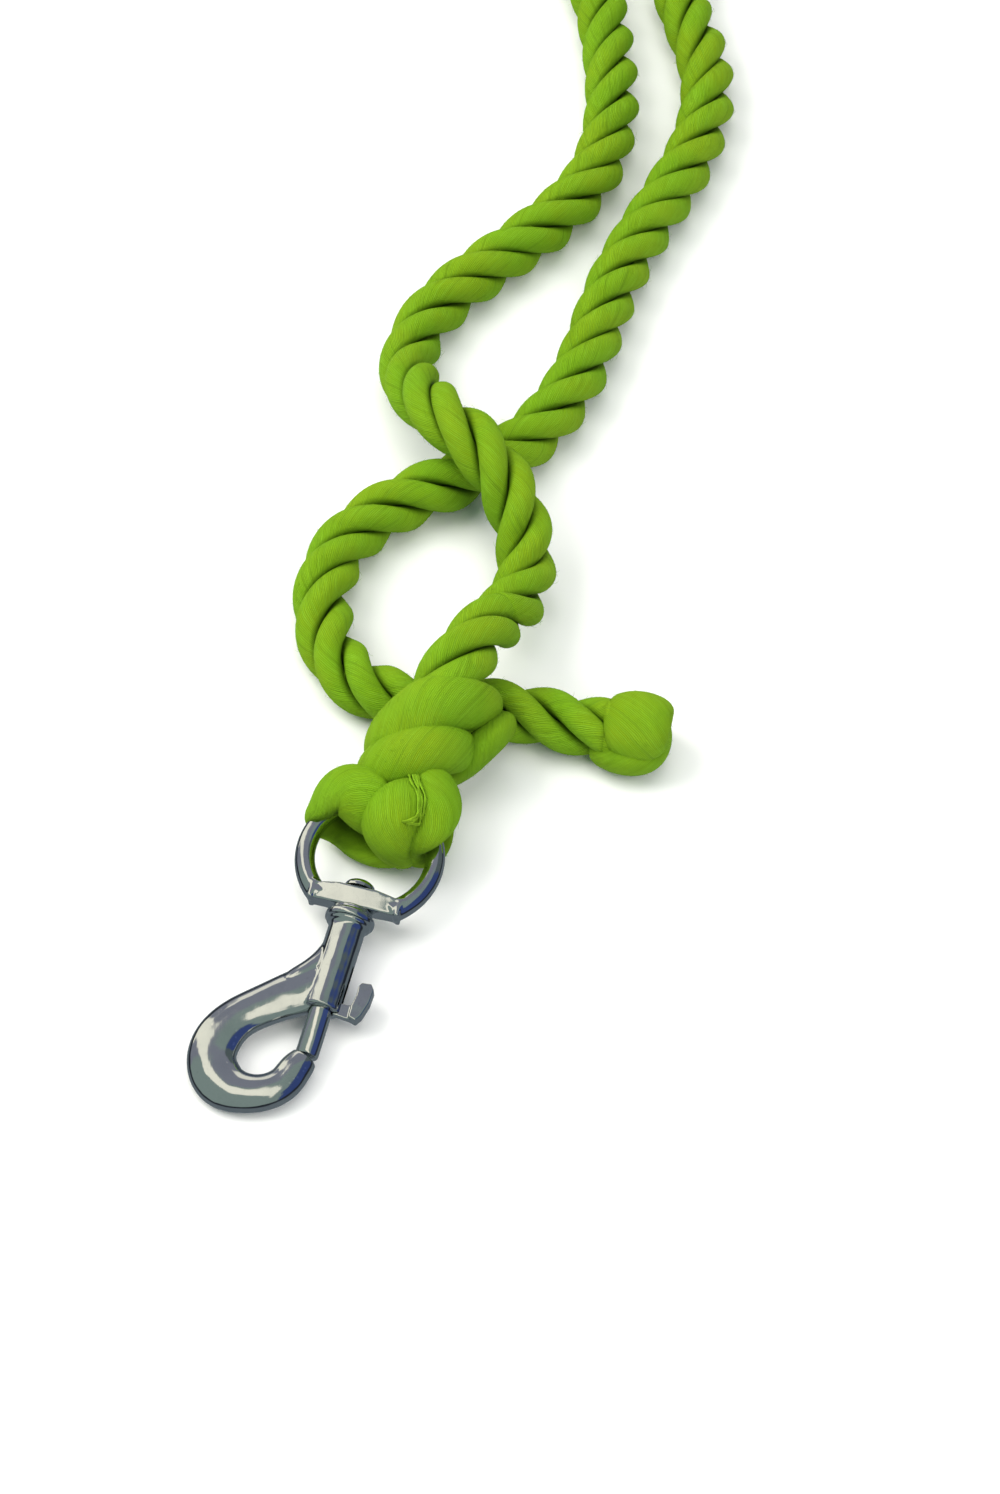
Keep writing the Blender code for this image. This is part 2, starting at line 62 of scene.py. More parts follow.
# The snap's own frame, from its joints: origin in the wire at the top of the ring, +Y to the rope
JOINTS = {joint["name"]: joint for joint in frame["record"]["behaviour"]["joints"]}
RING_TOP = Vector(JOINTS["ring_swing"]["pos_m"])
SNAP_X = Vector(JOINTS["ring_swing"]["axis"]).normalized()
SNAP_Y = Vector(JOINTS["snap_swivel"]["axis"]).normalized()
SNAP_Z = SNAP_X.cross(SNAP_Y)
SNAP = Matrix.Translation(RING_TOP) @ Matrix((SNAP_X, SNAP_Y, SNAP_Z)).transposed().to_4x4()
RING_R = 20.0 * MM

# Metal parts, in mm in the snap's frame
RING_WIRE_R = 3.0
WIRE_END = math.radians(146)    # the wire runs this far down each side, into the crossbar ...
WIRE_SWELL = 0.17               # ... and is this much thicker there
WIRE_STEPS, WIRE_SIDES = 150, 28
BAR_HALF_WIDTH = 14.2
BAR_TOP_Y = -33.0
BAR_BOTTOM_Y = -38.6
BAR_BACK_HALF = 4.0             # half the bar's height at its edge to the rope, and at the other edge
BAR_FRONT_HALF = 3.2
BAR_DOME = 0.20
BAR_RAISED = 0.9
BAR_STATIONS = 24
LIP_WIDTH = 1.5
LIP_HALF = 3.5
RIVET_R = 2.2
RIVET_HEAD_R = 4.8
RIVET_HEAD_HEIGHT = 3.2
RIVET_HEAD_RIM = 0.5
RIVET_END_Y = -46.0
RUNNING_GAP = 0.3
BARREL_R = 5.7
BARREL_END_Y = -73.3
BOLT_R = 3.5
BOLT_BACK_Y = -64.5
BOLT_TIP_Y = -88.8
BOLT_TRAVEL = 12.0
LEVER_FOOT_TOP_Y = -69.8
# The collar: radius, and distance down from the barrel's top
COLLAR_PROFILE = (
    (0, 0), (5.7, 0), (6.3, 0.5), (6.5, 1.7), (7.6, 2.3), (7.7, 3.3), (7.6, 4.3), (6.6, 4.8),
    (6.9, 5.3), (5.9, 6), (BARREL_R, 7),
)
# The hook's bow: centre x, centre y, half width in the hook's plane, half thickness
HOOK_STATIONS = (
    (2, -61, 4.6, 4.2), (-4.6, -66.4, 7.4, 4.3), (-12.4, -72.2, 7.1, 4.3), (-18.2, -76.8, 6.6, 4.3),
    (-23.8, -82.4, 6.7, 4.3), (-27.1, -89.6, 7.3, 4.3), (-26.8, -97, 7.4, 4.3), (-21.9, -103, 7.5, 4.3),
    (-14.8, -104.4, 6.3, 4.3), (-8.2, -102.4, 5.6, 4.3), (-3.9, -98.3, 5.3, 4.3), (-2.2, -94, 5.1, 4.3),
    (-1, -91, 4.6, 4.1), (-0.3, -89.2, 4, 3.7),
)
# The web that fairs the barrel into the hook, in the same terms
WEB_STATIONS = (
    (-2.4, -46.5, 1.6, 2.6), (-2.8, -51, 2.6, 3.3), (-3.8, -56.6, 3.5, 3.8), (-7.2, -62, 3.5, 4.1),
    (-10.6, -66, 3.4, 4), (-13.4, -70.6, 2.9, 3.4),
)
LEVER_FOOT = ((3.8, -69.8), (3.8, -73.9), (9.4, -74.5), (10.6, -73.9), (10.2, -69.9))
LEVER_TAB = (
    (8.6, -70.2), (8.8, -74), (11, -74.7), (12.4, -72.6), (13.6, -68), (13.8, -63.6), (12.6, -62),
    (9.8, -62.2), (9, -63.8), (9.2, -66.6),
)
LEVER_FOOT_HALF = 1.15
LEVER_TAB_HALF = 2.2
SLOT_HALF = 1.5
BORE_TOP_Y = -47.0
BORE_PAST = 4.6                 # the bore runs on this far past the barrel's end
CUP_DEPTH = 4.0
SPRING_TURNS = 7
SPRING_STEPS = 28               # for each turn
SPRING_COIL_R = 2.7
SPRING_WIRE_R = 0.3
SPRING_FIRST_Y = -46.6
# How castings are run together: size of the remeshing (mm), and rounds of smoothing
CASTING_VOXEL = 0.27
LEVER_VOXEL = 0.16
RING_SMOOTHING, SNAP_SMOOTHING, LEVER_SMOOTHING = 12, 9, 12

# The rope
LAY = 52.0 * MM
SLACK_LAY = 60.0 * MM           # where the rope passes over itself its lay is slacker, about SLACK_AT
SLACK_AT = (0.055, 0.085, 0.150, 0.185)
STRAND_OUT = 4.80 * MM          # from the rope's middle to a strand's middle
STRAND_DEEP = 5.10 * MM         # half a strand's size, towards and along the rope's surface
STRAND_WIDE = 5.35 * MM
STRAND_SIDES = 28
ROPE_YARNS = 1.25               # yarn map units once round a strand of the rope
SOFT_YARNS = 1.5                # ... and once round a strand of the splice, eye or crown
YARN_TURN = 2.1                 # turns of a strand's own yarns for each turn of the lay
STRAND_CORNER = 9               # how sharply a strand's round side turns into its flat sides
STRAND_GAP = 0.04 * MM
CREASE_R = 5.2 * MM             # where the painted shade in a crease is darkest, and where a strand is fully lit
SHOWN_R = 9.4 * MM
VISIBLE_STEP = 1.4 * MM
STORED_STEP = 2.6 * MM
STORED_FROM_Y = 0.40            # the coil begins past this place on the table

# The route (mm), as the CAD solids lie: from the splice to the coil ...
SNAP_ROUTE = (
    (41, 80.6, 24.5), (46.6, 90.1, 19.5), (50.5, 104.6, 16), (50, 119.6, 19),
    (44, 135.1, 26.4), (33.7, 149.1, 31), (21.5, 163.6, 29.4), (14, 179.6, 21.5),
    (11, 198.6, 12.5), (16, 218.6, 10), (28, 235.6, 10), (45, 252.6, 10),
    (62.5, 270.6, 10), (76.5, 292.6, 10), (82.5, 318.6, 10), (82.5, 347.6, 10),
)
# ... and from the coil back past the splice to the tail end
TAIL_ROUTE = (
    (109.5, 487.6, 29.6), (109.5, 465.6, 27.8), (109.5, 440.6, 22.8), (109.5, 418.5, 15),
    (109.5, 401.5, 10.8), (109.5, 382.6, 10), (115.5, 355.6, 10), (117.5, 328.6, 10),
    (111.5, 301.6, 10), (100.5, 277.6, 10), (88.5, 253.6, 10), (79.5, 229.6, 10),
    (72.5, 205.6, 10), (63.5, 184.6, 10), (51.5, 167.6, 10), (36.5, 155.1, 10),
    (20.5, 146.6, 10), (5.5, 137.6, 10), (-7.5, 124.6, 10), (-14, 108.6, 10),
    (-14.5, 91.6, 10), (-9.5, 75.6, 10), (1, 64.1, 10), (16, 58.6, 10),
    (32.5, 57.1, 10), (48.5, 55.1, 10), (63.5, 51.1, 10.2), (76.5, 47.9, 11),
)
# The splice's core (mm): centre x, y, z and size beside the plain rope, from the rope to the ring
SPLICE_ROUTE = (
    (41, 80.6, 24.5, 1.00), (36, 70.6, 29.4, 1.02), (30.5, 60.6, 31, 1.06), (25, 50.6, 28.6, 1.12),
    (20, 41, 23.5, 1.15), (16.5, 32, 18, 1.05), (14, 24.5, 14.5, 0.90),
)
SPLICE_STEP = 1.2 * MM
# Strands that lie over the core, in the snap's frame (mm): x, y, z, half width, half depth
TUCK_ROUTES = (
    (
        (-5, 17, -4, 5, 4), (-7, 17.4, 2, 7, 5), (-4.6, 19.5, 8, 8.4, 6),
        (1, 23.8, 12.2, 9.2, 6.6), (8, 28.6, 14.4, 9.4, 6.6), (16, 32.4, 12.2, 8.6, 6.2),
        (21.5, 36, 5.6, 7, 5), (21, 38.5, -1, 5, 4),
    ),
    (
        (-4, 7, -4.5, 5, 4), (-7, 7.6, 1.8, 6.6, 5), (-3.4, 8.6, 7.8, 8, 6),
        (3.5, 11.2, 11.2, 8.6, 6.4), (10.5, 14.4, 11.4, 8.4, 6.2), (16.2, 18.2, 7.6, 7.6, 5.6),
        (18, 21.6, 1, 6, 4.6), (14.5, 23, -5, 4.5, 4),
    ),
    (
        (11, 13, -5, 4.5, 4), (18, 19, -2.4, 6.4, 4.8), (23, 24.5, 1.6, 7.2, 5.2),
        (26.5, 31.5, 1.4, 6.6, 5), (27.5, 38, -3.5, 5, 4),
    ),
)
# The eye's strands in the same frame: out of the splice, over the wire, into the ring and back
EYE_ROUTES = {
    "left": (
        (2, -9.5, -2.5, 6, 4), (-2, -8.4, 4.2, 8, 5), (-6.2, -5.2, 8.4, 9, 5.4),
        (-11, -3.4, 9, 8.6, 5.4), (-15.2, -4.6, 7.4, 7.2, 5), (-18.4, -7.6, 2.6, 6, 4.4),
        (-18.2, -9.2, -3.8, 5.6, 4), (-14.4, -9, -7.8, 5.4, 4), (-8.6, -11, -9, 5.6, 4),
        (-1.5, -14.2, -8.8, 6, 4), (5, -12, -9, 6, 4), (8, -3, -9, 6, 4),
        (7, 9, -8.5, 6, 4),
    ),
    "middle": (
        (11.5, 5, 3.6, 4.6, 4.2), (10.4, 0.4, 7.8, 6.8, 5.4), (7.2, -4.6, 10.2, 8.3, 6.2),
        (4.7, -9.2, 9.9, 9, 6.5), (3.8, -12.8, 6.2, 9, 6.3), (4.4, -14, 0.4, 8.4, 5.5),
        (6, -11.8, -6, 7.6, 4.6), (8, -5, -9, 7, 4), (8.5, 9, -8.5, 6, 4),
    ),
    "right": (
        (12.4, 9.6, 5.6, 5, 4.2), (14.6, 5, 8.2, 6.8, 5.2), (16.6, 0.2, 8.8, 7.6, 5.4),
        (17, -5, 8.4, 7.6, 5.4), (14.8, -9.6, 6, 7, 5), (10.4, -11.6, 1.6, 6, 4.6),
        (9.6, -11.4, -5, 6, 4.2), (14, -8.4, -8.8, 6.4, 4), (15, 0, -9, 6, 4),
        (12, 10, -8.5, 6, 4),
    ),
}
# A few loose yarns lie along the crease between the middle and right strands (same frame)
LOOSE_ROUTE = (
    (8, 4.5, 12), (10, 0, 14), (11.6, -3.6, 14.5), (12.6, -7.6, 13.6), (12.4, -11.2, 11),
    (10.2, -13.2, 9),
)
LOOSE_OFFSETS = (-2.3, -1.2, -0.4, 0.5, 1.5)
LOOSE_YARN_R = 0.40
LOOSE_LIFT = 1.9                # height of a yarn's middle over the strands, in yarn radii
LOOSE_PROBE = 20.0              # a yarn is dropped on the strands from this far above its route
LOOSE_STEP = 0.5
LOOSE_SIDES = 6

# The tail's crown (mm): x along the rope out of its end, y to the rope's left, z up
CROWN_CORE = ((0.2, 0, 0, 1), (4, 0, 0.3, 0.98), (8, 0, 0.6, 0.90), (11, 0, 0.8, 0.76))
CROWN_ROUTES = (
    (
        (9, 6, -6.2, 6, 3.6), (9.8, 9, -0.6, 9, 4.4), (10, 6.6, 5.4, 10.4, 5.2),
        (10.2, 0.6, 7.2, 10.8, 5.6), (10.4, -4.6, 5.4, 10.4, 5), (10.4, -6.8, 1.4, 8.8, 4.2),
        (10.4, -5.6, -2.4, 6, 3.4),
    ),
    (
        (-4, -5.6, -3.6, 4, 3.4), (2, -7.6, -3.6, 5.6, 4.2), (8.6, -8.2, -3.4, 6.2, 4.6),
        (14, -5.8, -3.4, 6.2, 4.8), (15.6, 0.2, -3.6, 6, 4.6), (13.4, 5.8, -3.4, 6, 4.6),
        (7.6, 7.2, -4, 5, 4),
    ),
    (
        (3, 2.4, 4, 5, 3.6), (10.6, 1.8, 5.6, 7.6, 4.4), (15.6, 1.2, 1.6, 8.2, 5),
        (15, 0.6, -3.4, 7.4, 4.4), (10, 0, -5.8, 5, 3.6),
    ),
)

# The tape round the stored coil's far side (mm)
TAPE_HALF_WIDTH = 4.6
TAPE_THICK = 1.2
TAPE_REACH = 10.7
TAIL_HALF_WIDTH = 4.0
KNOT_SIZE = (5.4, 2.2, 1.7)
KNOT_HALF_WIDTH = 3.4
KNOT_HALF_THICK = 0.9
TAPE_TAILS = (
    ((-1, -3.5, 42.6), (-5.5, -8, 42.9), (-9, -12.6, 39.5), (-10.6, -14.6, 33), (-11.4, -15.2, 26)),
    ((1, 3.5, 42.6), (5, 8, 42.9), (8.6, 12.4, 39.2), (9.8, 14.4, 32), (10.4, 15, 24)),
)

# Loose fibres that stand off the cotton
FIBRE_R = 0.045 * MM
FIBRE_LENGTH = (0.8, 2.4)       # mm
FIBRES_PER_M2 = 130000
FIBRE_RISE = (0.15, 0.75)
FIBRE_CURL = 0.5
FIBRE_ROOT = 0.15 * MM
FIBRE_LOWEST = 0.1 * MM
FIBRE_STEPS = (0.0, 0.35, 0.7, 1.0)

# Soft strands of the splice, the eye and the crown
STRAND_STEP = 0.8 * MM
SOFT_SIDES = 40
SOFT_YARN_TURN = -1 / (30.0 * MM)
SOFT_BLUR = 9                   # steps over which a strand's flat side may turn
SOFT_SWELL = 0.03
SOFT_SWELL_LENGTH = 15 * MM
SOFT_END = 5 * MM

YARN_WANDER = 2.2               # how many yarns a yarn line wanders over
DRAWN_LINES = (2600.0, 140.0, 900.0)    # fineness of the metal's drawn lines along x, y and z

# The camera, solved from the change in rope width over the frame
CAMERA_PLACE = (0.0424, -0.5649, 0.8765)
CAMERA_TILT = math.radians(35)
CAMERA_FIELD = math.radians(25)

# Soft studio lights: name, place, size, power, colour
LIGHTS = (
    ("key", (-1.1, 0.35, 1.35), 1.3, 28, (1.0, 0.985, 0.95)),
    ("fill", (0.9, -0.9, 1.4), 1.2, 16, (1.0, 0.98, 0.94)),
    ("top", (0.2, 0.3, 2.0), 1.4, 16, (1.0, 1.0, 1.0)),
)
LIT_PLACE = (0.03, 0.1, 0)
FLOOR_HALF = 4.0

# What the metal mirrors: regions of directions (from, to, soft edge) and their light, later over
# earlier; q is y + 1.24 x, so that a range of it is a slanting band
SLANT = 1.24
ROOM_RIPPLE = 0.22
ROOM_COLOUR = (0.28, 0.35, 0.32)
ROOM_REGIONS = (
    ({"y": (0.26, 2.0, 0.05)}, (0.27, 0.28, 0.33)),
    ({"x": (0.50, 2.0, 0.08)}, (0.12, 0.15, 0.15)),
    ({"x": (0.50, 2.0, 0.08), "y": (-2.0, 0.17, 0.05), "z": (-0.1, 0.86, 0.06)}, (0.055, 0.087, 0.25)),
    ({"q": (-0.40, 0.10, 0.03), "x": (-2.0, 0.30, 0.03)}, (1.24, 1.18, 0.98)),
    ({"x": (-0.42, 0.30, 0.05), "y": (0.62, 2.0, 0.04), "z": (0.22, 0.62, 0.04)}, (1.1, 1.05, 0.9)),
    ({"z": (-2.0, 0.05, 0.05)}, (0.025, 0.03, 0.04)),
    ({"z": (-2.2, -0.22, 0.10)}, (0.17, 0.20, 0.22)),
)

# The stored coil (mm): an arc turns into it, one layer lies on the table and one on top
COIL_R = 100.0
COIL_CENTRE = (9.5, 517.6)
LAYER_Z = (10.0, 29.6)
ENTRY_R = 45.0
ENTRY_X = 79.5
COIL_STEP_DEG = 15.0
CLIMB_MM = (528.0, 606.0)


def coil_route():
    """The arc that meets the coil from outside, then the turns, clockwise from above."""
    cx, cy = COIL_CENTRE
    reach = COIL_R + ENTRY_R
    lean = math.asin((ENTRY_X - cx - ENTRY_R) / reach)
    ax, ay = cx + reach * math.sin(lean), cy - reach * math.cos(lean)
    points = []
    for k in range(1, 5):
        turn = k / 5 * (math.pi / 2 + lean)
        points.append((ax + ENTRY_R * math.cos(turn), ay + ENTRY_R * math.sin(turn), LAYER_Z[0]))
    start = lean - math.pi / 2
    total = 2 * math.pi + 3 * math.pi / 2 + lean
    steps = round(math.degrees(total) / COIL_STEP_DEG)
    for k in range(steps + 1):
        turned = total * k / steps
        climb = np.clip((turned * COIL_R - CLIMB_MM[0]) / (CLIMB_MM[1] - CLIMB_MM[0]), 0, 1)
        z = LAYER_Z[0] + (LAYER_Z[1] - LAYER_Z[0]) * climb * climb * (3 - 2 * climb)
        at = start - turned
        points.append((cx + COIL_R * math.cos(at), cy + COIL_R * math.sin(at), z))
    return points


def smooth_curve(route, samples):
    """Points along the natural cubic spline through the route's points."""
    p = np.array(route, float)
    t = np.concatenate([[0], np.cumsum(np.sqrt(np.linalg.norm(np.diff(p, axis=0), axis=1)))])
    h = np.diff(t)
    n = len(p)
    system = np.eye(n)
    right = np.zeros((n, p.shape[1]))
    for i in range(1, n - 1):
        system[i, i - 1 : i + 2] = h[i - 1], 2 * (h[i - 1] + h[i]), h[i]
        right[i] = 6 * ((p[i + 1] - p[i]) / h[i] - (p[i] - p[i - 1]) / h[i - 1])
    bend = np.linalg.solve(system, right)
    at = np.linspace(0, t[-1], samples)
    k = np.clip(np.searchsorted(t, at, side="right") - 1, 0, n - 2)
    hk = h[k][:, None]
    a = (t[k + 1] - at)[:, None] / hk
    b = 1 - a
    cubic = ((a**3 - a) * bend[k] + (b**3 - b) * bend[k + 1]) * hk**2 / 6
    return a * p[k] + b * p[k + 1] + cubic


def run_along(points):
    """The distance along a line at each of its points."""
    return np.concatenate([[0], np.cumsum(np.linalg.norm(np.diff(points[:, :3], axis=0), axis=1))])


def at_runs(points, wanted, run=None):
    """The line's rows at the wanted distances along it, or along another measure of it."""
    run = run_along(points) if run is None else run
    return np.stack([np.interp(wanted, run, column) for column in points.T], axis=1)


def even_runs(points, step):
    return np.arange(0, run_along(points)[-1], step)


def unit(rows):
    return rows / np.linalg.norm(rows, axis=1)[:, None]


def headings(points):
    return unit(np.gradient(points, axis=0))


def rings_about(line, side, up, s, u):
    """Rings of points about a line, s along its side directions and u along its up directions."""
    return line[:, None, :] + side[:, None, :] * s[..., None] + up[:, None, :] * u[..., None]


def untwisted_frames(points, first_side=(0, 0, 1)):
    """Side and up directions that turn with a line but don't twist about it."""
    along = headings(points)
    side = np.empty_like(along)
    start = np.array(first_side, float)
    start -= along[0] * start.dot(along[0])
    side[0] = start / np.linalg.norm(start)
    for i in range(1, len(points)):
        carried = side[i - 1] - along[i] * side[i - 1].dot(along[i])
        side[i] = carried / np.linalg.norm(carried)
    return side, np.cross(along, side)


class MeshData:
    """Gathers grids of points into one mesh, with a yarn map and a crease value for painted shade."""

    def __init__(self):
        self.points, self.quads, self.maps, self.depth = [], [], [], []
        self.caps = []
        self.count = 0

    def tube(self, rings, runs, yarn, depth, turns=1):
        """rings (n, m, 3), runs (n,), yarn (n, m), depth (n, m): one capped tube of yarns; the yarn
        map grows by turns once round; depth is the crease value, 0 where painted shade is darkest."""
        n, m = rings.shape[:2]
        middle = rings[n // 2]
        facing = np.cross(middle[1] - middle[0], rings[n // 2 - 1][0] - middle[0])
        if facing.dot(middle[0] - middle.mean(axis=0)) > 0:
            rings, yarn, depth, turns = rings[:, ::-1], yarn[:, ::-1], depth[:, ::-1], -turns
        base = self.count
        i, j = np.meshgrid(np.arange(n - 1), np.arange(m), indexing="ij")
        k = (j + 1) % m
        quad = np.stack([i * m + j, i * m + k, (i + 1) * m + k, (i + 1) * m + j], axis=-1)
        wrap = turns * (k == 0).astype(float)
        u = np.stack([runs[i], runs[i], runs[i + 1], runs[i + 1]], axis=-1)
        v = np.stack([yarn[i, j], yarn[i, k] + wrap, yarn[i + 1, k] + wrap, yarn[i + 1, j]], axis=-1)
        self.points.append(rings.reshape(-1, 3))
        self.depth.append(depth.reshape(-1))
        self.quads.append(quad.reshape(-1, 4) + base)
        self.maps.append(np.stack([u, v], axis=-1).reshape(-1, 2))
        self.caps.append((base + np.arange(m)[::-1], runs[0], yarn[0]))
        self.caps.append((base + (n - 1) * m + np.arange(m), runs[-1], yarn[-1]))
        self.count += n * m

    def object(self, name, material):
        points = np.concatenate(self.points)
        quads = np.concatenate(self.quads)
        corners = [quads.reshape(-1)] + [c[0] for c in self.caps]
        sizes = [np.full(len(quads), 4)] + [np.array([len(c[0])]) for c in self.caps]
        maps = [np.concatenate(self.maps)]
        for ring, run, yarn in self.caps:
            maps.append(np.stack([np.full(len(ring), run), np.resize(yarn, len(ring))], axis=-1))
        corners, sizes, maps = np.concatenate(corners), np.concatenate(sizes), np.concatenate(maps)
        mesh = bpy.data.meshes.new(name)
        mesh.vertices.add(len(points))
        mesh.vertices.foreach_set("co", points.astype(np.float32).ravel())
        mesh.loops.add(len(corners))
        mesh.loops.foreach_set("vertex_index", corners.astype(np.int32))
        mesh.polygons.add(len(sizes))
        starts = np.concatenate([[0], np.cumsum(sizes)[:-1]])
        mesh.polygons.foreach_set("loop_start", starts.astype(np.int32))
        mesh.update(calc_edges=True)
        mesh.uv_layers.new(name="yarn").data.foreach_set("uv", maps.astype(np.float32).ravel())
        # the crease value: 1 on open surfaces, 0 where the cotton material paints shade in creases
        crease = mesh.attributes.new("crease", "FLOAT", "POINT")
        crease.data.foreach_set("value", np.concatenate(self.depth).astype(np.float32))
        mesh.shade_smooth()
        mesh.validate()
        mesh.materials.append(material)
        return link(name, mesh)


def strand_section(sides):
    """A strand in its third of the rope: an oval, flattened where it meets its neighbours."""
    a = np.linspace(-math.pi, math.pi, sides, endpoint=False)
    limits = [1 / np.sqrt((np.cos(a) / STRAND_DEEP) ** 2 + (np.sin(a) / STRAND_WIDE) ** 2)]
    reach = STRAND_OUT * math.sin(math.pi / 3) - STRAND_GAP
    for sign in (1, -1):
        toward = np.sin(a) * sign * 0.5 - np.cos(a) * math.sin(math.pi / 3)
        limits.append(np.where(toward > 0.02, reach / np.maximum(toward, 0.02), 1.0))
    r = sum(limit ** -STRAND_CORNER for limit in limits) ** (-1 / STRAND_CORNER)
    return a, r * np.cos(a) + STRAND_OUT, r * np.sin(a)


def wobble(runs, seed, scale):
    """A slow, smooth, repeatable wander along a line, about -1 to 1."""
    x = runs / scale
    slow, middle, quick = np.sin(x + seed * 2.1), np.sin(x * 2.3 + seed * 5.7), np.sin(x * 4.1 + seed)
    return (slow + middle * 0.6 + quick * 0.3) / 1.9


def lay_strands(data, line, runs, turn, size, first_side=(0, 0, 1)):
    """Three strands laid round a line; turn is the lay's angle and size the strands' scale."""
    side, up = untwisted_frames(line, first_side)
    angle, outward, sideways = strand_section(STRAND_SIDES)
    for strand in range(3):
        phase = turn + 2 * math.pi * strand / 3 + 0.10 * wobble(runs, strand, 37 * MM)
        swell = size * (1 + 0.035 * wobble(runs, strand + 7, 21 * MM))
        out = side * np.cos(phase)[:, None] + up * np.sin(phase)[:, None]
        across = -side * np.sin(phase)[:, None] + up * np.cos(phase)[:, None]
        beyond = np.maximum(outward - STRAND_OUT, 0)[None, :]
        o = outward[None, :] * size[:, None] + beyond * (swell - size)[:, None]
        w = sideways[None, :] * size[:, None]
        rings = rings_about(line, out, across, o, w)
        yarn = ROPE_YARNS * (angle[None, :] + (YARN_TURN * turn)[:, None]) / (2 * math.pi)
        # painted shade: where a strand's sides run into the rope's creases, its colour is darkened
        radius = np.sqrt(outward**2 + sideways**2)
        unshaded = np.clip((radius - CREASE_R) / (SHOWN_R - CREASE_R), 0, 1)
        data.tube(rings, runs, yarn, np.repeat(unshaded[None, :], len(runs), axis=0), turns=ROPE_YARNS)
    return side[-1]


def build_rope(cotton):
    route = [*SNAP_ROUTE, *coil_route(), *TAIL_ROUTE]
    fine = smooth_curve(route, 14000) * MM
    fine_runs = run_along(fine)
    total = fine_runs[-1]
    stored = fine_runs[fine[:, 1] > STORED_FROM_Y]
    runs = np.concatenate([
        np.arange(0, stored[0], VISIBLE_STEP),
        np.arange(stored[0], stored[-1], STORED_STEP),
        np.arange(stored[-1], total - VISIBLE_STEP / 2, VISIBLE_STEP),
        [total],
    ])
    data = MeshData()
    lay = LAY + (SLACK_LAY - LAY) * np.interp(runs, SLACK_AT, (0.0, 1.0, 1.0, 0.0))
    turn = np.concatenate([[0], np.cumsum(2 * math.pi * np.diff(runs) / lay[1:])])
    last_side = lay_strands(data, at_runs(fine, runs), runs, turn, np.ones(len(runs)))
    return data.object("laid_rope", cotton), fine[::8], (last_side, turn[-1])


def splice_core():
    fine = smooth_curve(SPLICE_ROUTE, 2000)
    fine[:, :3] *= MM
    return fine


def build_splice(cotton):
    """The tucked part: the rope's strands run on as a core, and the tucked ends lie over it."""
    fine = splice_core()
    runs = even_runs(fine, SPLICE_STEP)
    line = at_runs(fine, runs)
    size = line[:, 3]
    turn = -np.concatenate([[0], np.cumsum(np.diff(runs) * 2 * math.pi / (LAY * size[1:]))])
    data = MeshData()
    # the line is turned round, so that it runs the way the rope does and keeps the lay's hand
    lay_strands(data, line[::-1, :3], runs, turn[::-1], size[::-1])
    core = (line[:, :3] - np.array(RING_TOP)) @ np.array(SNAP.to_3x3())
    for number, route in enumerate(TUCK_ROUTES):
        soft_strand(data, route, core, number)
    return data.object("splice_strands", cotton)


def soft_strand(data, route, held, seed, place=SNAP):
    """A soft oval strand with its flat side to the line it is held by; place sets its frame."""
    fine = smooth_curve(route, 1500) * MM
    runs = even_runs(fine, STRAND_STEP)
    line = at_runs(fine, runs)
    centre = line[:, :3]
    along = headings(centre)
    gaps = np.linalg.norm(centre[:, None, :] - held[None, :, :], axis=2)
    deep = centre - held[np.argmin(gaps, axis=1)]
    blur = np.ones(SOFT_BLUR) / SOFT_BLUR
    padded = np.pad(deep, ((SOFT_BLUR // 2, SOFT_BLUR // 2), (0, 0)), mode="edge")
    deep = np.stack([np.convolve(column, blur, mode="valid") for column in padded.T], axis=1)
    deep = unit(deep - along * np.sum(deep * along, axis=1)[:, None])
    wide = np.cross(along, deep)
    a = np.linspace(0, 2 * math.pi, SOFT_SIDES, endpoint=False)
    c, s = np.cos(a), np.sin(a)
    swell = 1 + SOFT_SWELL * wobble(runs, seed, SOFT_SWELL_LENGTH)
    end = np.minimum(runs, runs[-1] - runs) / SOFT_END
    swell = swell * np.sqrt(np.clip(1 - (1 - np.clip(end, 0, 1)) ** 2, 0.02, 1))
    w = (line[:, 3] * swell)[:, None] * c[None, :]
    d = (line[:, 4] * swell)[:, None] * s[None, :]
    rings = rings_about(centre, wide, deep, w, d)
    rings = rings @ np.array(place.to_3x3()).T + np.array(place.translation)
    yarn = SOFT_YARNS * (a[None, :] / (2 * math.pi) + (SOFT_YARN_TURN * runs)[:, None])
    # painted shade: the side facing the core or wire that holds the strand gets a darker colour
    unshaded = np.repeat(np.clip(0.5 + 0.6 * s, 0.25, 1)[None, :], len(runs), axis=0)
    data.tube(rings, runs, yarn, unshaded, turns=SOFT_YARNS)


def ring_wire():
    a = np.linspace(0, 2 * math.pi, 90)
    return np.stack([RING_R * np.sin(a), RING_R * np.cos(a) - RING_R, 0 * a], axis=1)


def build_eye_strand(name, route, cotton):
    data = MeshData()
    soft_strand(data, route, ring_wire(), len(name))
    return data.object(f"eye_{name}", cotton)


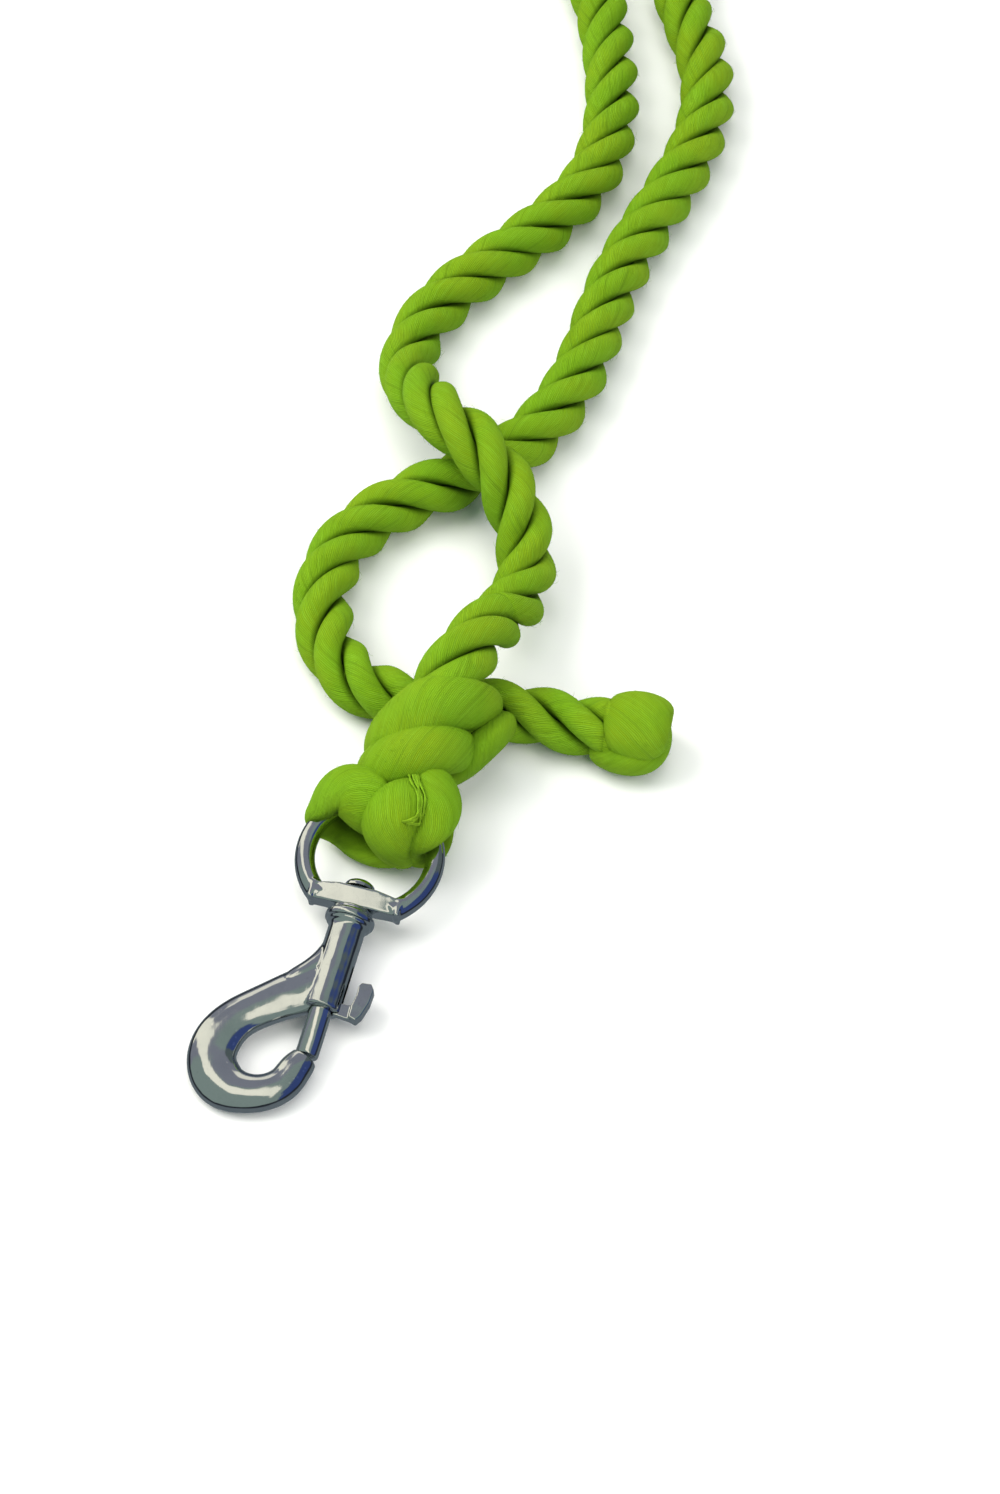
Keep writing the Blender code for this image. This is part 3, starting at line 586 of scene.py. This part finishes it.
def build_loose_yarns(strands, cotton):
    """Fine yarns that have worked loose and lie on the eye's strands."""
    depsgraph = bpy.context.evaluated_depsgraph_get()
    trees = [BVHTree.FromObject(strand, depsgraph) for strand in strands]
    down = -SNAP_Z
    fine = smooth_curve(LOOSE_ROUTE, 400)
    route = at_runs(fine, even_runs(fine, LOOSE_STEP))
    data = MeshData()
    a = np.linspace(0, 2 * math.pi, LOOSE_SIDES, endpoint=False)
    for number, offset in enumerate(LOOSE_OFFSETS):
        line = []
        for i, (x, y, z) in enumerate(route):
            drift = offset * (0.55 + 0.45 * math.cos(i * 0.11 + number))
            drift += 0.25 * math.sin(i * 0.42 + number * 1.7)
            start = SNAP @ (Vector((x + drift, y, z + LOOSE_PROBE)) * MM)
            hits = [tree.ray_cast(start, down) for tree in trees]
            hits = [(hit[3], hit[0], hit[1]) for hit in hits if hit[0] is not None]
            if hits:
                _, place, normal = min(hits, key=lambda hit: hit[0])
                line.append(place + normal * LOOSE_YARN_R * LOOSE_LIFT * MM)
        line = np.array(line)
        for _ in range(2):
            line[1:-1] = (line[:-2] + line[1:-1] * 2 + line[2:]) / 4
        side, up = untwisted_frames(line)
        radius = LOOSE_YARN_R * MM * (1 + 0.2 * np.sin(np.arange(len(line)) * 0.7))[:, None]
        rings = rings_about(line, side, up, radius * np.cos(a), radius * np.sin(a))
        yarn = np.repeat(a[None, :] / (2 * math.pi) / 20, len(line), axis=0) + 0.13 * number
        data.tube(rings, run_along(line), yarn, np.ones(rings.shape[:2]), turns=0)
    return data.object("eye_loose_yarns", cotton)


def build_crown(line, rope_end, cotton):
    """The back-spliced end: three strands folded over the last of the laid rope."""
    last_side, last_turn = rope_end
    heading = Vector(line[-1] - line[-40]).normalized()
    left = Vector((0, 0, 1)).cross(heading).normalized()
    place = Matrix((heading, left, heading.cross(left))).transposed().to_4x4()
    place.translation = Vector(line[-1])
    fine = smooth_curve(CROWN_CORE, 400)
    fine[:, :3] *= MM
    held = fine[:, :3]
    data = MeshData()
    runs = even_runs(fine, SPLICE_STEP)
    core = at_runs(fine, runs)
    turn = last_turn + 2 * math.pi * (core[:, 0] + CROWN_CORE[0][0] * MM) / LAY
    laid = core[:, :3] @ np.array(place.to_3x3()).T + np.array(place.translation)
    lay_strands(data, laid, runs, turn, core[:, 3], last_side)
    for number, route in enumerate(CROWN_ROUTES):
        soft_strand(data, route, held, number + 11, place)
    return data.object("crown_strands", cotton)


def ribbon(data, centres, across, out, half_width, half_thick, first_yarn=0.0):
    """A flat woven tape along a line, with rounded edges."""
    corners = 12
    a = np.linspace(0, 2 * math.pi, corners, endpoint=False)
    c = np.sign(np.cos(a)) * np.abs(np.cos(a)) ** 0.35 * half_width
    s = np.sign(np.sin(a)) * np.abs(np.sin(a)) ** 0.7 * half_thick
    rings = rings_about(centres, across, out, c, s)
    yarn = np.repeat((c / half_width * 0.25 + first_yarn)[None, :], len(centres), axis=0)
    data.tube(rings, run_along(centres), yarn, np.ones(rings.shape[:2]), turns=0)


def build_tape(cotton):
    """A tape round both layers of the coil, knotted on top with two short tails."""
    centre = np.array([COIL_CENTRE[0], COIL_CENTRE[1] + COIL_R, 0.0])
    low, high = LAYER_Z
    turns = np.radians(np.arange(0, 361, 6.0))
    points = []
    for a in turns:
        z = (high if math.sin(a) > 0 else low) + TAPE_REACH * math.sin(a)
        points.append((0.0, TAPE_REACH * math.cos(a), max(z, TAPE_THICK / 2 + 0.05)))
    loop = smooth_curve([points[0], *points[1:-1], points[0]], 260) * MM + centre * MM
    data = MeshData()
    across = np.repeat([[1.0, 0.0, 0.0]], len(loop), axis=0)
    outward = np.cross(across, headings(loop))
    ribbon(data, loop, across, outward, TAPE_HALF_WIDTH * MM, TAPE_THICK / 2 * MM)
    top = high + TAPE_REACH + TAPE_THICK
    heart = np.array([0.0, 0.0, top + 0.3]) * MM + centre * MM
    a = np.linspace(0, 2 * math.pi, 49)
    x, y, z = KNOT_SIZE
    out = np.stack([x * np.cos(a), y * np.sin(a + 0.5), z * np.sin(a)], axis=1) * MM
    knot = heart + out
    out = unit(out)
    across = np.cross(headings(knot), out)
    ribbon(data, knot, across, out, KNOT_HALF_WIDTH * MM, KNOT_HALF_THICK * MM, 0.3)
    for number, tail in enumerate(TAPE_TAILS):
        fine = smooth_curve(tail, 300) * MM + centre * MM
        line = at_runs(fine, even_runs(fine, STRAND_STEP))
        side, up = untwisted_frames(line, (1, 0, 0))
        ribbon(data, line, side, up, TAIL_HALF_WIDTH * MM, TAPE_THICK / 2 * MM, 0.5 + number * 0.3)
    return data.object("coil_tape", cotton)


def build_fuzz(name, objects, cotton, seed):
    """Short curled fibres that stand off the shown cotton surfaces."""
    random = np.random.default_rng(seed)
    data = MeshData()
    corner = np.radians([0.0, 120.0, 240.0])
    t = np.array(FIBRE_STEPS)[:, None]
    for obj in objects:
        mesh = obj.data
        mesh.calc_loop_triangles()
        co = np.empty(len(mesh.vertices) * 3, np.float32)
        mesh.vertices.foreach_get("co", co)
        tris = np.empty(len(mesh.loop_triangles) * 3, np.int32)
        mesh.loop_triangles.foreach_get("vertices", tris)
        unshaded = np.empty(len(mesh.vertices), np.float32)
        mesh.attributes["crease"].data.foreach_get("value", unshaded)
        p = co.reshape(-1, 3)[tris.reshape(-1, 3)].astype(float)
        seen = unshaded[tris.reshape(-1, 3)].min(axis=1)
        normal = np.cross(p[:, 1] - p[:, 0], p[:, 2] - p[:, 0])
        area = np.linalg.norm(normal, axis=1) / 2
        normal /= np.maximum(area * 2, 1e-12)[:, None]
        keep = (seen > 0.45) & (p[:, :, 1].max(axis=1) < STORED_FROM_Y)
        weight = np.where(keep, area, 0)
        count = int(weight.sum() * FIBRES_PER_M2)
        chosen = random.choice(len(weight), count, p=weight / weight.sum())
        mix = random.dirichlet((1, 1, 1), count)
        roots = np.sum(p[chosen] * mix[:, :, None], axis=1)
        out = normal[chosen]
        lean = random.normal(size=(count, 3))
        lean = unit(lean - out * np.sum(lean * out, axis=1)[:, None])
        reach = random.uniform(*FIBRE_LENGTH, count) * MM
        rise = random.uniform(*FIBRE_RISE, count)
        curl = np.cross(out, lean) * random.uniform(-FIBRE_CURL, FIBRE_CURL, count)[:, None]
        for i in range(count):
            bend = lean[i] * t + out[i] * rise[i] * t * (1.5 - t) + curl[i] * t * t
            line = roots[i] - out[i] * FIBRE_ROOT + reach[i] * bend
            line[:, 2] = np.maximum(line[:, 2], FIBRE_LOWEST)
            side = np.cross(lean[i], out[i])
            radius = FIBRE_R * (1.1 - 0.7 * t)[:, :, None]
            ring = side * np.cos(corner)[:, None] + out[i] * np.sin(corner)[:, None]
            rings = line[:, None, :] + ring[None, :, :] * radius
            data.tube(rings, run_along(line), np.full((4, 3), (i % 97) / 97), np.ones((4, 3)), turns=0)
    return data.object(name, cotton)


def link(name, mesh, material=None):
    obj = bpy.data.objects.new(name, mesh)
    bpy.context.scene.collection.objects.link(obj)
    if material:
        mesh.materials.append(material)
    return obj


def finished(bm, name, sharp_deg=35):
    bmesh.ops.recalc_face_normals(bm, faces=bm.faces)
    mesh = bpy.data.meshes.new(name)
    bm.to_mesh(mesh)
    bm.free()
    mesh.shade_smooth()
    mesh.set_sharp_from_angle(angle=math.radians(sharp_deg))
    return mesh


def turned(name, profile, sides=72):
    """A solid turned about the snap's axis from (radius, y) points in mm."""
    bm = bmesh.new()
    points = [bm.verts.new((r * MM, y * MM, 0.0)) for r, y in profile]
    edges = [bm.edges.new(pair) for pair in zip(points, points[1:])]
    bmesh.ops.spin(
        bm, geom=points + edges, cent=(0, 0, 0), axis=(0, 1, 0), angle=2 * math.pi, steps=sides
    )
    bmesh.ops.remove_doubles(bm, verts=bm.verts, dist=1e-6)
    return finished(bm, name)


def plug(name, radius, top, bottom):
    """A round plug along the snap's axis, to bore with."""
    return turned(name, [(0, top), (radius, top), (radius, bottom), (0, bottom)], 48)


def extruded(name, outline, half_thick, bevel=0):
    """An outline in mm in the snap's plane, extruded both ways, with chamfered edges or none."""
    bm = bmesh.new()
    face = bm.faces.new([bm.verts.new((x * MM, y * MM, -half_thick * MM)) for x, y in outline])
    lifted = bmesh.ops.extrude_face_region(bm, geom=[face])["geom"]
    moved = [v for v in lifted if isinstance(v, bmesh.types.BMVert)]
    bmesh.ops.translate(bm, verts=moved, vec=(0, 0, 2 * half_thick * MM))
    bmesh.ops.recalc_face_normals(bm, faces=bm.faces)
    if bevel:
        bmesh.ops.bevel(bm, geom=bm.edges, offset=bevel * MM, segments=1, profile=0.5, affect="EDGES")
    return finished(bm, name)


def ringed(name, rings):
    """A closed tube of quads through rings of points in metres."""
    bm = bmesh.new()
    loops = [[bm.verts.new(p) for p in ring] for ring in rings]
    for a, b in zip(loops, loops[1:]):
        for i in range(len(a)):
            j = (i + 1) % len(a)
            bm.faces.new((a[i], a[j], b[j], b[i]))
    bm.faces.new(list(reversed(loops[0])))
    bm.faces.new(loops[-1])
    return finished(bm, name)


def applied(obj):
    """The object with its modifiers made part of its mesh."""
    depsgraph = bpy.context.evaluated_depsgraph_get()
    mesh = bpy.data.meshes.new_from_object(obj.evaluated_get(depsgraph))
    obj.modifiers.clear()
    obj.data = mesh
    return obj


def cast(name, meshes, voxel, smoothing, material):
    """Solids run together as in a casting: joined, remeshed and smoothed, with small fillets."""
    bm = bmesh.new()
    for mesh in meshes:
        bm.from_mesh(mesh)
    joined = bpy.data.meshes.new(name)
    bm.to_mesh(joined)
    bm.free()
    obj = link(name, joined)
    melt = obj.modifiers.new("melt", "REMESH")
    melt.mode = "VOXEL"
    melt.voxel_size = voxel * MM
    melt.use_smooth_shade = True
    even = obj.modifiers.new("even", "SMOOTH")
    even.factor = 0.5
    even.iterations = smoothing
    applied(obj)
    obj.data.materials.append(material)
    return obj


def cut(obj, mesh):
    """Takes a solid out of an object."""
    cutter = link("cutter", mesh)
    step = obj.modifiers.new("cut", "BOOLEAN")
    step.operation = "DIFFERENCE"
    step.object = cutter
    applied(obj)
    bpy.data.objects.remove(cutter, do_unlink=True)


def placed(obj):
    """Moves a piece made in the snap's frame to its place."""
    obj.data.transform(SNAP)
    return obj


def wire_ring():
    """The ring's wire, round at the top and thicker where it runs into the crossbar."""
    rings = []
    for i in range(WIRE_STEPS + 1):
        turn = WIRE_END * (2 * i / WIRE_STEPS - 1)
        out = Vector((math.sin(turn), math.cos(turn), 0))
        wire = RING_WIRE_R * (1 + WIRE_SWELL * abs(turn / WIRE_END) ** 4) * MM
        rings.append([
            out * (RING_R + wire * math.cos(a)) + Vector((0, -RING_R, wire * math.sin(a)))
            for a in (2 * math.pi * k / WIRE_SIDES for k in range(WIRE_SIDES))
        ])
    return ringed("wire", rings)


def build_ring(metal):
    """Wire and crossbar in one casting, with the bar's raised middle and lipped ends."""
    w, top, bottom = BAR_HALF_WIDTH, BAR_TOP_Y, BAR_BOTTOM_Y
    rings = []
    for i in range(BAR_STATIONS + 1):
        t = 2 * i / BAR_STATIONS - 1
        raised = BAR_RAISED * min(1.0, max(0.0, (0.82 - abs(t)) / 0.37))
        crown = 1 - BAR_DOME * t * t
        back, front = (top + raised, BAR_BACK_HALF * crown), (bottom, BAR_FRONT_HALF * crown)
        section = [back, (back[0], -back[1]), (front[0], -front[1]), front]
        rings.append([Vector((w * t, y, z)) * MM for y, z in section])
    meshes = [wire_ring(), ringed("bar", rings)]
    for x in (-w - 0.2, w - LIP_WIDTH + 0.2):
        far = x + LIP_WIDTH
        outline = [(x, bottom - 0.2), (far, bottom - 0.2), (far, top + 0.3), (x, top + 0.3)]
        meshes.append(extruded("lip", outline, LIP_HALF))
    obj = cast("ring_casting", meshes, CASTING_VOXEL, RING_SMOOTHING, metal)
    bore = RIVET_R + RUNNING_GAP
    cut(obj, turned("bore", [(0, top + 4), (bore, top + 4), (bore, bottom - 2), (0, bottom - 2)], 40))
    return placed(obj)


def build_rivet_head(metal):
    seat = BAR_TOP_Y + BAR_RAISED + RUNNING_GAP
    rim, height = seat + RIVET_HEAD_RIM, RIVET_HEAD_HEIGHT - RIVET_HEAD_RIM
    angles = [math.radians(d) for d in range(0, 91, 6)]
    dome = [(RIVET_HEAD_R * math.sin(a), rim + height * math.cos(a)) for a in angles]
    profile = [*dome, (RIVET_HEAD_R, seat), (RIVET_R, seat), (RIVET_R, RIVET_END_Y), (0, RIVET_END_Y)]
    return placed(link("rivet", turned("rivet", profile), metal))


def bow_mesh(name, stations):
    """A domed oval swept through stations in the hook's plane."""
    fine = smooth_curve(stations, 2000)
    run = run_along(fine[:, :2])
    path = at_runs(fine, np.linspace(0, run[-1], 150), run)
    rings = []
    for (x, y, wide, thick), (dx, dy) in zip(path, headings(path[:, :2])):
        ring = []
        for k in range(48):
            a = 2 * math.pi * k / 48
            c, s = math.cos(a), math.sin(a)
            u = math.copysign(abs(c) ** 0.9, c) * wide
            v = s * thick
            ring.append(Vector((x - dy * u, y + dx * u, v)) * MM)
        rings.append(ring)
    return ringed(name, rings)


def build_snap(metal):
    """Barrel, collar, web and hook in one casting, bored for the bolt and slotted for its lever."""
    top = BAR_BOTTOM_Y - RUNNING_GAP
    end = BARREL_END_Y
    collar = [(r, top - down) for r, down in COLLAR_PROFILE]
    profile = [*collar, (BARREL_R, end + 0.4), (BARREL_R - 0.5, end), (0, end)]
    meshes = [turned("barrel", profile), bow_mesh("web", WEB_STATIONS), bow_mesh("hook", HOOK_STATIONS)]
    obj = cast("snap_casting", meshes, CASTING_VOXEL, SNAP_SMOOTHING, metal)
    bore = BOLT_R + RUNNING_GAP
    cut(obj, plug("bore", bore, BORE_TOP_Y, end - BORE_PAST))
    slot_top = LEVER_FOOT_TOP_Y + BOLT_TRAVEL + 0.4
    slot = [(2, end - 4.0), (9, end - 4.0), (9, slot_top), (2, slot_top)]
    cut(obj, extruded("slot", slot, SLOT_HALF, 0.2))
    cut(obj, plug("cup", bore, BOLT_TIP_Y + CUP_DEPTH, BOLT_TIP_Y - RUNNING_GAP))
    obj.data.shade_smooth()
    obj.data.set_sharp_from_angle(angle=math.radians(50))
    return placed(obj)


def build_bolt(metal):
    r, back, tip = BOLT_R, BOLT_BACK_Y, BOLT_TIP_Y
    profile = [
        (0, back), (r - 0.4, back), (r, back - 0.4), (r, tip + 0.8), (r - 0.25, tip + 0.25),
        (r - 0.8, tip), (0, tip),
    ]
    return placed(link("bolt_rod", turned("bolt_rod", profile), metal))


def build_lever(metal):
    """A foot that comes out through the slot and a thicker, curled thumb tab."""
    meshes = [extruded("foot", LEVER_FOOT, LEVER_FOOT_HALF), extruded("tab", LEVER_TAB, LEVER_TAB_HALF)]
    return placed(cast("lever_tab", meshes, LEVER_VOXEL, LEVER_SMOOTHING, metal))


def build_spring(metal):
    length = BOLT_BACK_Y + 0.6 - SPRING_FIRST_Y
    steps = SPRING_TURNS * SPRING_STEPS
    rings = []
    for k in range(steps + 1):
        a = 2 * math.pi * SPRING_TURNS * k / steps
        out = Vector((math.cos(a), 0, math.sin(a)))
        centre = out * SPRING_COIL_R + Vector((0, SPRING_FIRST_Y + length * k / steps, 0))
        wire = ((math.cos(b), math.sin(b)) for b in (2 * math.pi * j / 10 for j in range(10)))
        rings.append([(centre + (out * c + Vector((0, s, 0))) * SPRING_WIRE_R) * MM for c, s in wire])
    return placed(link("spring_coil", ringed("spring_coil", rings), metal))


def shader(name):
    mat = bpy.data.materials.new(name)
    mat.use_nodes = True
    tree = mat.node_tree
    return mat, tree, tree.nodes["Principled BSDF"]


def set_inputs(tree, made, inputs):
    """Sets a node's inputs to numbers and colours, or links them."""
    for key, value in inputs.items():
        if isinstance(value, bpy.types.NodeSocket):
            tree.links.new(value, made.inputs[key])
        else:
            made.inputs[key].default_value = value


def add_node(tree, kind, inputs, output=0, **settings):
    """An output of a new node."""
    made = tree.nodes.new("ShaderNode" + kind)
    for name, value in settings.items():
        setattr(made, name, value)
    set_inputs(tree, made, inputs)
    return made.outputs[output]


def math_node(tree, operation, *values, kind="Math"):
    return add_node(tree, kind, dict(enumerate(values)), operation=operation)


def times(tree, a, b):
    return math_node(tree, "MULTIPLY", a, b)


def plus(tree, first, *others):
    for other in others:
        first = math_node(tree, "ADD", first, other)
    return first


def mix_colours(tree, factor, a, b):
    a, b = ((*c, 1.0) if isinstance(c, tuple) else c for c in (a, b))
    return add_node(tree, "Mix", {0: factor, 6: a, 7: b}, 2, data_type="RGBA")


def noise(tree, vector, scale, detail=2.0, roughness=0.5, output=0):
    inputs = {"Vector": vector, "Scale": scale, "Detail": detail, "Roughness": roughness}
    return add_node(tree, "TexNoise", inputs, output)


def ramp(tree, factor, stops):
    (a, low), (b, high) = stops
    return add_node(tree, "MapRange", {0: factor, 1: a, 2: b, 3: low, 4: high})


def bump(tree, height, strength, distance):
    return add_node(tree, "Bump", {"Height": height, "Strength": strength, "Distance": distance})


def along_yarns(tree, u, v, per_metre, per_turn, detail):
    """Streaks that run with the yarns: slow along them and quick across them."""
    across = times(tree, math_node(tree, "FRACT", v), per_turn)
    vector = add_node(tree, "CombineXYZ", {0: times(tree, u, per_metre), 1: across})
    return noise(tree, vector, 1.0, detail, 0.6)


def cotton_material(name, lit, deep, warm, yarns=44):
    """Soft laid cotton: yarn lines from the yarn map, painted shade in creases and yarn grooves, fuzz
    as sheen and bump. The map's v counts bundles of this many yarns, and its u is the distance along."""
    mat, tree, bsdf = shader(name)
    u, v, _ = add_node(tree, "SeparateXYZ", {0: add_node(tree, "UVMap", {}, uv_map="yarn")}, slice(0, 3))
    place = add_node(tree, "TexCoord", {}, "Object")
    wander = times(tree, math_node(tree, "SUBTRACT", noise(tree, place, 190, 3.0), 0.5), YARN_WANDER)
    count = plus(tree, times(tree, v, float(yarns)), wander)
    wave = math_node(tree, "SINE", times(tree, count, 2 * math.pi))
    ridge = ramp(tree, wave, ((-1.0, 0.0), (1.0, 1.0)))
    fine = along_yarns(tree, u, v, 90.0, yarns * 1.3, 3.0)
    coarse = along_yarns(tree, u, v, 38.0, yarns * 0.36, 2.0)
    unshaded = add_node(tree, "Attribute", {}, "Fac", attribute_name="crease")
    paler = tuple(min(1.0, c * 1.3 + 0.02) for c in lit)
    darker = tuple(c * 0.5 for c in lit)
    # each layer: what it follows, where it starts and ends, and the colour that it brings
    layers = (
        (fine, ((0.45, 0.0), (0.75, 0.7)), paler),
        (coarse, ((0.25, 0.55), (0.45, 0.0)), darker),
        # painted shade: a darker colour in the grooves between the yarns
        (ridge, ((0.0, 0.6), (0.55, 0.0)), darker),
        # painted shade: the crease colour where the crease value is low
        (unshaded, ((0.0, 1.0), (0.55, 0.0)), deep),
    )
    patch = noise(tree, place, 45, 2.0)
    colour = mix_colours(tree, ramp(tree, patch, ((0.35, 0.0), (0.65, 1.0))), lit, warm)
    for follows, stops, brought in layers:
        colour = mix_colours(tree, ramp(tree, follows, stops), colour, brought)
    fluff = noise(tree, place, 2600, 2.0, 0.7)
    height = plus(tree, times(tree, ridge, 0.38), times(tree, fine, 0.7), times(tree, coarse, 0.7))
    set_inputs(tree, bsdf, {
        "Base Color": colour, "Roughness": 0.92, "Specular IOR Level": 0.15,
        "Normal": bump(tree, plus(tree, height, times(tree, fluff, 0.3)), 0.9, 0.45 * MM),
        "Sheen Weight": 0.25, "Sheen Roughness": 0.45, "Sheen Tint": (*lit, 1.0),
    })
    return mat


def metal_material(name, base, worn, dull, roughness, casting_waves):
    """Metal with hand marks in its polish, faint drawn lines, casting waves and brighter worn edges."""
    mat, tree, bsdf = shader(name)
    place = add_node(tree, "TexCoord", {}, "Object")
    smudge = noise(tree, place, 85, 4.0, 0.6)
    specks = noise(tree, place, 900, 2.0, 0.6)
    drawn = noise(tree, math_node(tree, "MULTIPLY", place, DRAWN_LINES, kind="VectorMath"), 1.0, 2.0)
    edge = ramp(tree, add_node(tree, "NewGeometry", {}, "Pointiness"), ((0.52, 0.0), (0.60, 1.0)))
    tarnished = mix_colours(tree, ramp(tree, smudge, ((0.45, 0.0), (0.75, 0.8))), base, dull)
    speckled = mix_colours(tree, ramp(tree, specks, ((0.62, 0.0), (0.80, 0.6))), tarnished, dull)
    low, high = roughness
    polish = ramp(tree, smudge, ((0.35, low), (0.70, high)))
    scratched = ramp(tree, drawn, ((0.50, 0.0), (0.80, 0.05)))
    waves = times(tree, noise(tree, place, 150, 1.0), casting_waves)
    set_inputs(tree, bsdf, {
        "Base Color": mix_colours(tree, edge, speckled, worn), "Metallic": 1.0,
        "Roughness": plus(tree, polish, scratched, times(tree, edge, 0.05)),
        "Normal": bump(tree, plus(tree, waves, times(tree, drawn, 0.05)), 1.0, 0.10 * MM),
    })
    return mat


def add_camera():
    data = bpy.data.cameras.new("camera")
    data.lens_unit = "FOV"
    data.sensor_fit = "VERTICAL"
    data.angle = CAMERA_FIELD
    data.clip_start = 0.05
    camera = bpy.data.objects.new("camera", data)
    camera.location = CAMERA_PLACE
    camera.rotation_euler = (CAMERA_TILT, 0, 0)
    bpy.context.scene.collection.objects.link(camera)
    bpy.context.scene.camera = camera


def area_light(name, place, size, power, colour):
    """A square light that doesn't show in the metal, which mirrors the surroundings only."""
    data = bpy.data.lights.new(name, "AREA")
    data.energy = power
    data.color = colour
    data.size = size
    light = bpy.data.objects.new(name, data)
    light.location = place
    light.rotation_euler = (Vector(LIT_PLACE) - Vector(place)).to_track_quat("-Z", "Y").to_euler()
    light.visible_glossy = False
    bpy.context.scene.collection.objects.link(light)


def region(tree, axes, ranges):
    """1 inside the ranges of directions, 0 outside, with soft edges."""
    total = None
    for name, (low, high, edge) in ranges.items():
        rise = ramp(tree, axes[name], ((low, 0.0), (low + edge, 1.0)))
        fall = ramp(tree, axes[name], ((high - edge, 1.0), (high, 0.0)))
        inside = times(tree, rise, fall)
        total = inside if total is None else times(tree, total, inside)
    return total


def add_surroundings():
    """A dim grey-teal room for the metal to mirror, with a pale slanting window and a blue side."""
    world = bpy.data.worlds.new("studio")
    world.use_nodes = True
    tree = world.node_tree
    direction = add_node(tree, "TexCoord", {}, "Generated")
    ripple = noise(tree, direction, 3.2, output="Color")
    rippled = math_node(tree, "MULTIPLY_ADD", ripple, (ROOM_RIPPLE,) * 3, direction, kind="VectorMath")
    centred = math_node(tree, "SUBTRACT", rippled, (ROOM_RIPPLE / 2,) * 3, kind="VectorMath")
    axes = dict(zip("xyz", add_node(tree, "SeparateXYZ", {0: centred}, slice(0, 3))))
    axes["q"] = plus(tree, axes["y"], times(tree, axes["x"], SLANT))
    colour = ROOM_COLOUR
    for ranges, light in ROOM_REGIONS:
        colour = mix_colours(tree, region(tree, axes, ranges), colour, light)
    tree.links.new(colour, tree.nodes["Background"].inputs[0])
    bpy.context.scene.world = world


def add_studio():
    mesh = bpy.data.meshes.new("floor")
    corners = [(x * FLOOR_HALF, y * FLOOR_HALF, 0) for x, y in ((-1, -1), (1, -1), (1, 1), (-1, 1))]
    mesh.from_pydata(corners, [], [(0, 1, 2, 3)])
    mat, tree, bsdf = shader("pale_floor")
    pale = (0.90, 0.90, 0.90, 1.0)
    set_inputs(tree, bsdf, {"Base Color": pale, "Roughness": 0.95, "Specular IOR Level": 0.1})
    floor = link("floor", mesh, mat)
    floor.visible_glossy = False
    add_surroundings()
    for light in LIGHTS:
        area_light(*light)
    bpy.context.scene.view_settings.view_transform = "Standard"


add_camera()
add_studio()
# Cottons: lit, painted shade in the creases, and where the dye took warmer
lime = cotton_material(
    "lime_cotton_look", (0.175, 0.362, 0.010), (0.042, 0.098, 0.001), (0.213, 0.351, 0.009)
)
pale_yarn = cotton_material(
    "loose_yarn_look", (0.215, 0.430, 0.015), (0.070, 0.150, 0.003), (0.270, 0.450, 0.018)
)
natural = cotton_material(
    "natural_tape_look", (0.62, 0.57, 0.45), (0.30, 0.26, 0.19), (0.66, 0.60, 0.46), yarns=16
)
# Metals: body, worn edges, dull marks, range of roughness, casting waves
nickel = metal_material(
    "polished_nickel_look", (0.58, 0.61, 0.62), (0.70, 0.71, 0.70), (0.47, 0.50, 0.52),
    (0.055, 0.13), 1.6
)
steel = metal_material(
    "spring_steel_look", (0.40, 0.40, 0.41), (0.55, 0.55, 0.54), (0.27, 0.26, 0.25), (0.22, 0.38), 0.2
)
rope, rope_line, rope_end = build_rope(lime)
crown = build_crown(rope_line, rope_end, lime)
tape = build_tape(natural)
fuzz = build_fuzz("rope_fuzz", [rope, crown], lime, 3)
ROPE_PIECES = (
    (rope, "cotton_rope"), (crown, "cotton_rope"), (tape, "tie_cotton"), (fuzz, "cotton_rope"),
)
for piece, slot_name in ROPE_PIECES:
    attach(piece, "rope")
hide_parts("rope_snap_half", "rope_coil", "rope_tail_half")
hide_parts("tail_crown")
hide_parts("coil_tie")
splice = build_splice(lime)
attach(splice, "rope")
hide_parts("splice_neck")
strands = {}
for side_name, route in EYE_ROUTES.items():
    strands[side_name] = build_eye_strand(side_name, route, lime)
for side_name, strand in strands.items():
    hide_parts(f"eye_strand_{side_name}")
loose = build_loose_yarns(list(strands.values()), pale_yarn)
splice_fuzz = build_fuzz("splice_fuzz", [splice], lime, 5)
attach(splice_fuzz, "rope")
eye_fuzz = build_fuzz("eye_fuzz", list(strands.values()), lime, 7)
for piece in (*strands.values(), loose, eye_fuzz):
    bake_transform(piece)
METAL_PIECES = (
    (build_ring, "swivel_ring", "ring"), (build_rivet_head, "swivel_rivet", "snap"),
    (build_snap, "snap_body", "snap"), (build_bolt, "bolt", "bolt"),
    (build_lever, "thumb_lever", "bolt"),
)
for build, node, body in METAL_PIECES:
    piece = build(nickel)
    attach(piece, body)
    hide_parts(node)
spring = build_spring(steel)
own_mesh(spring)
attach(spring, "snap")
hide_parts("bolt_spring")
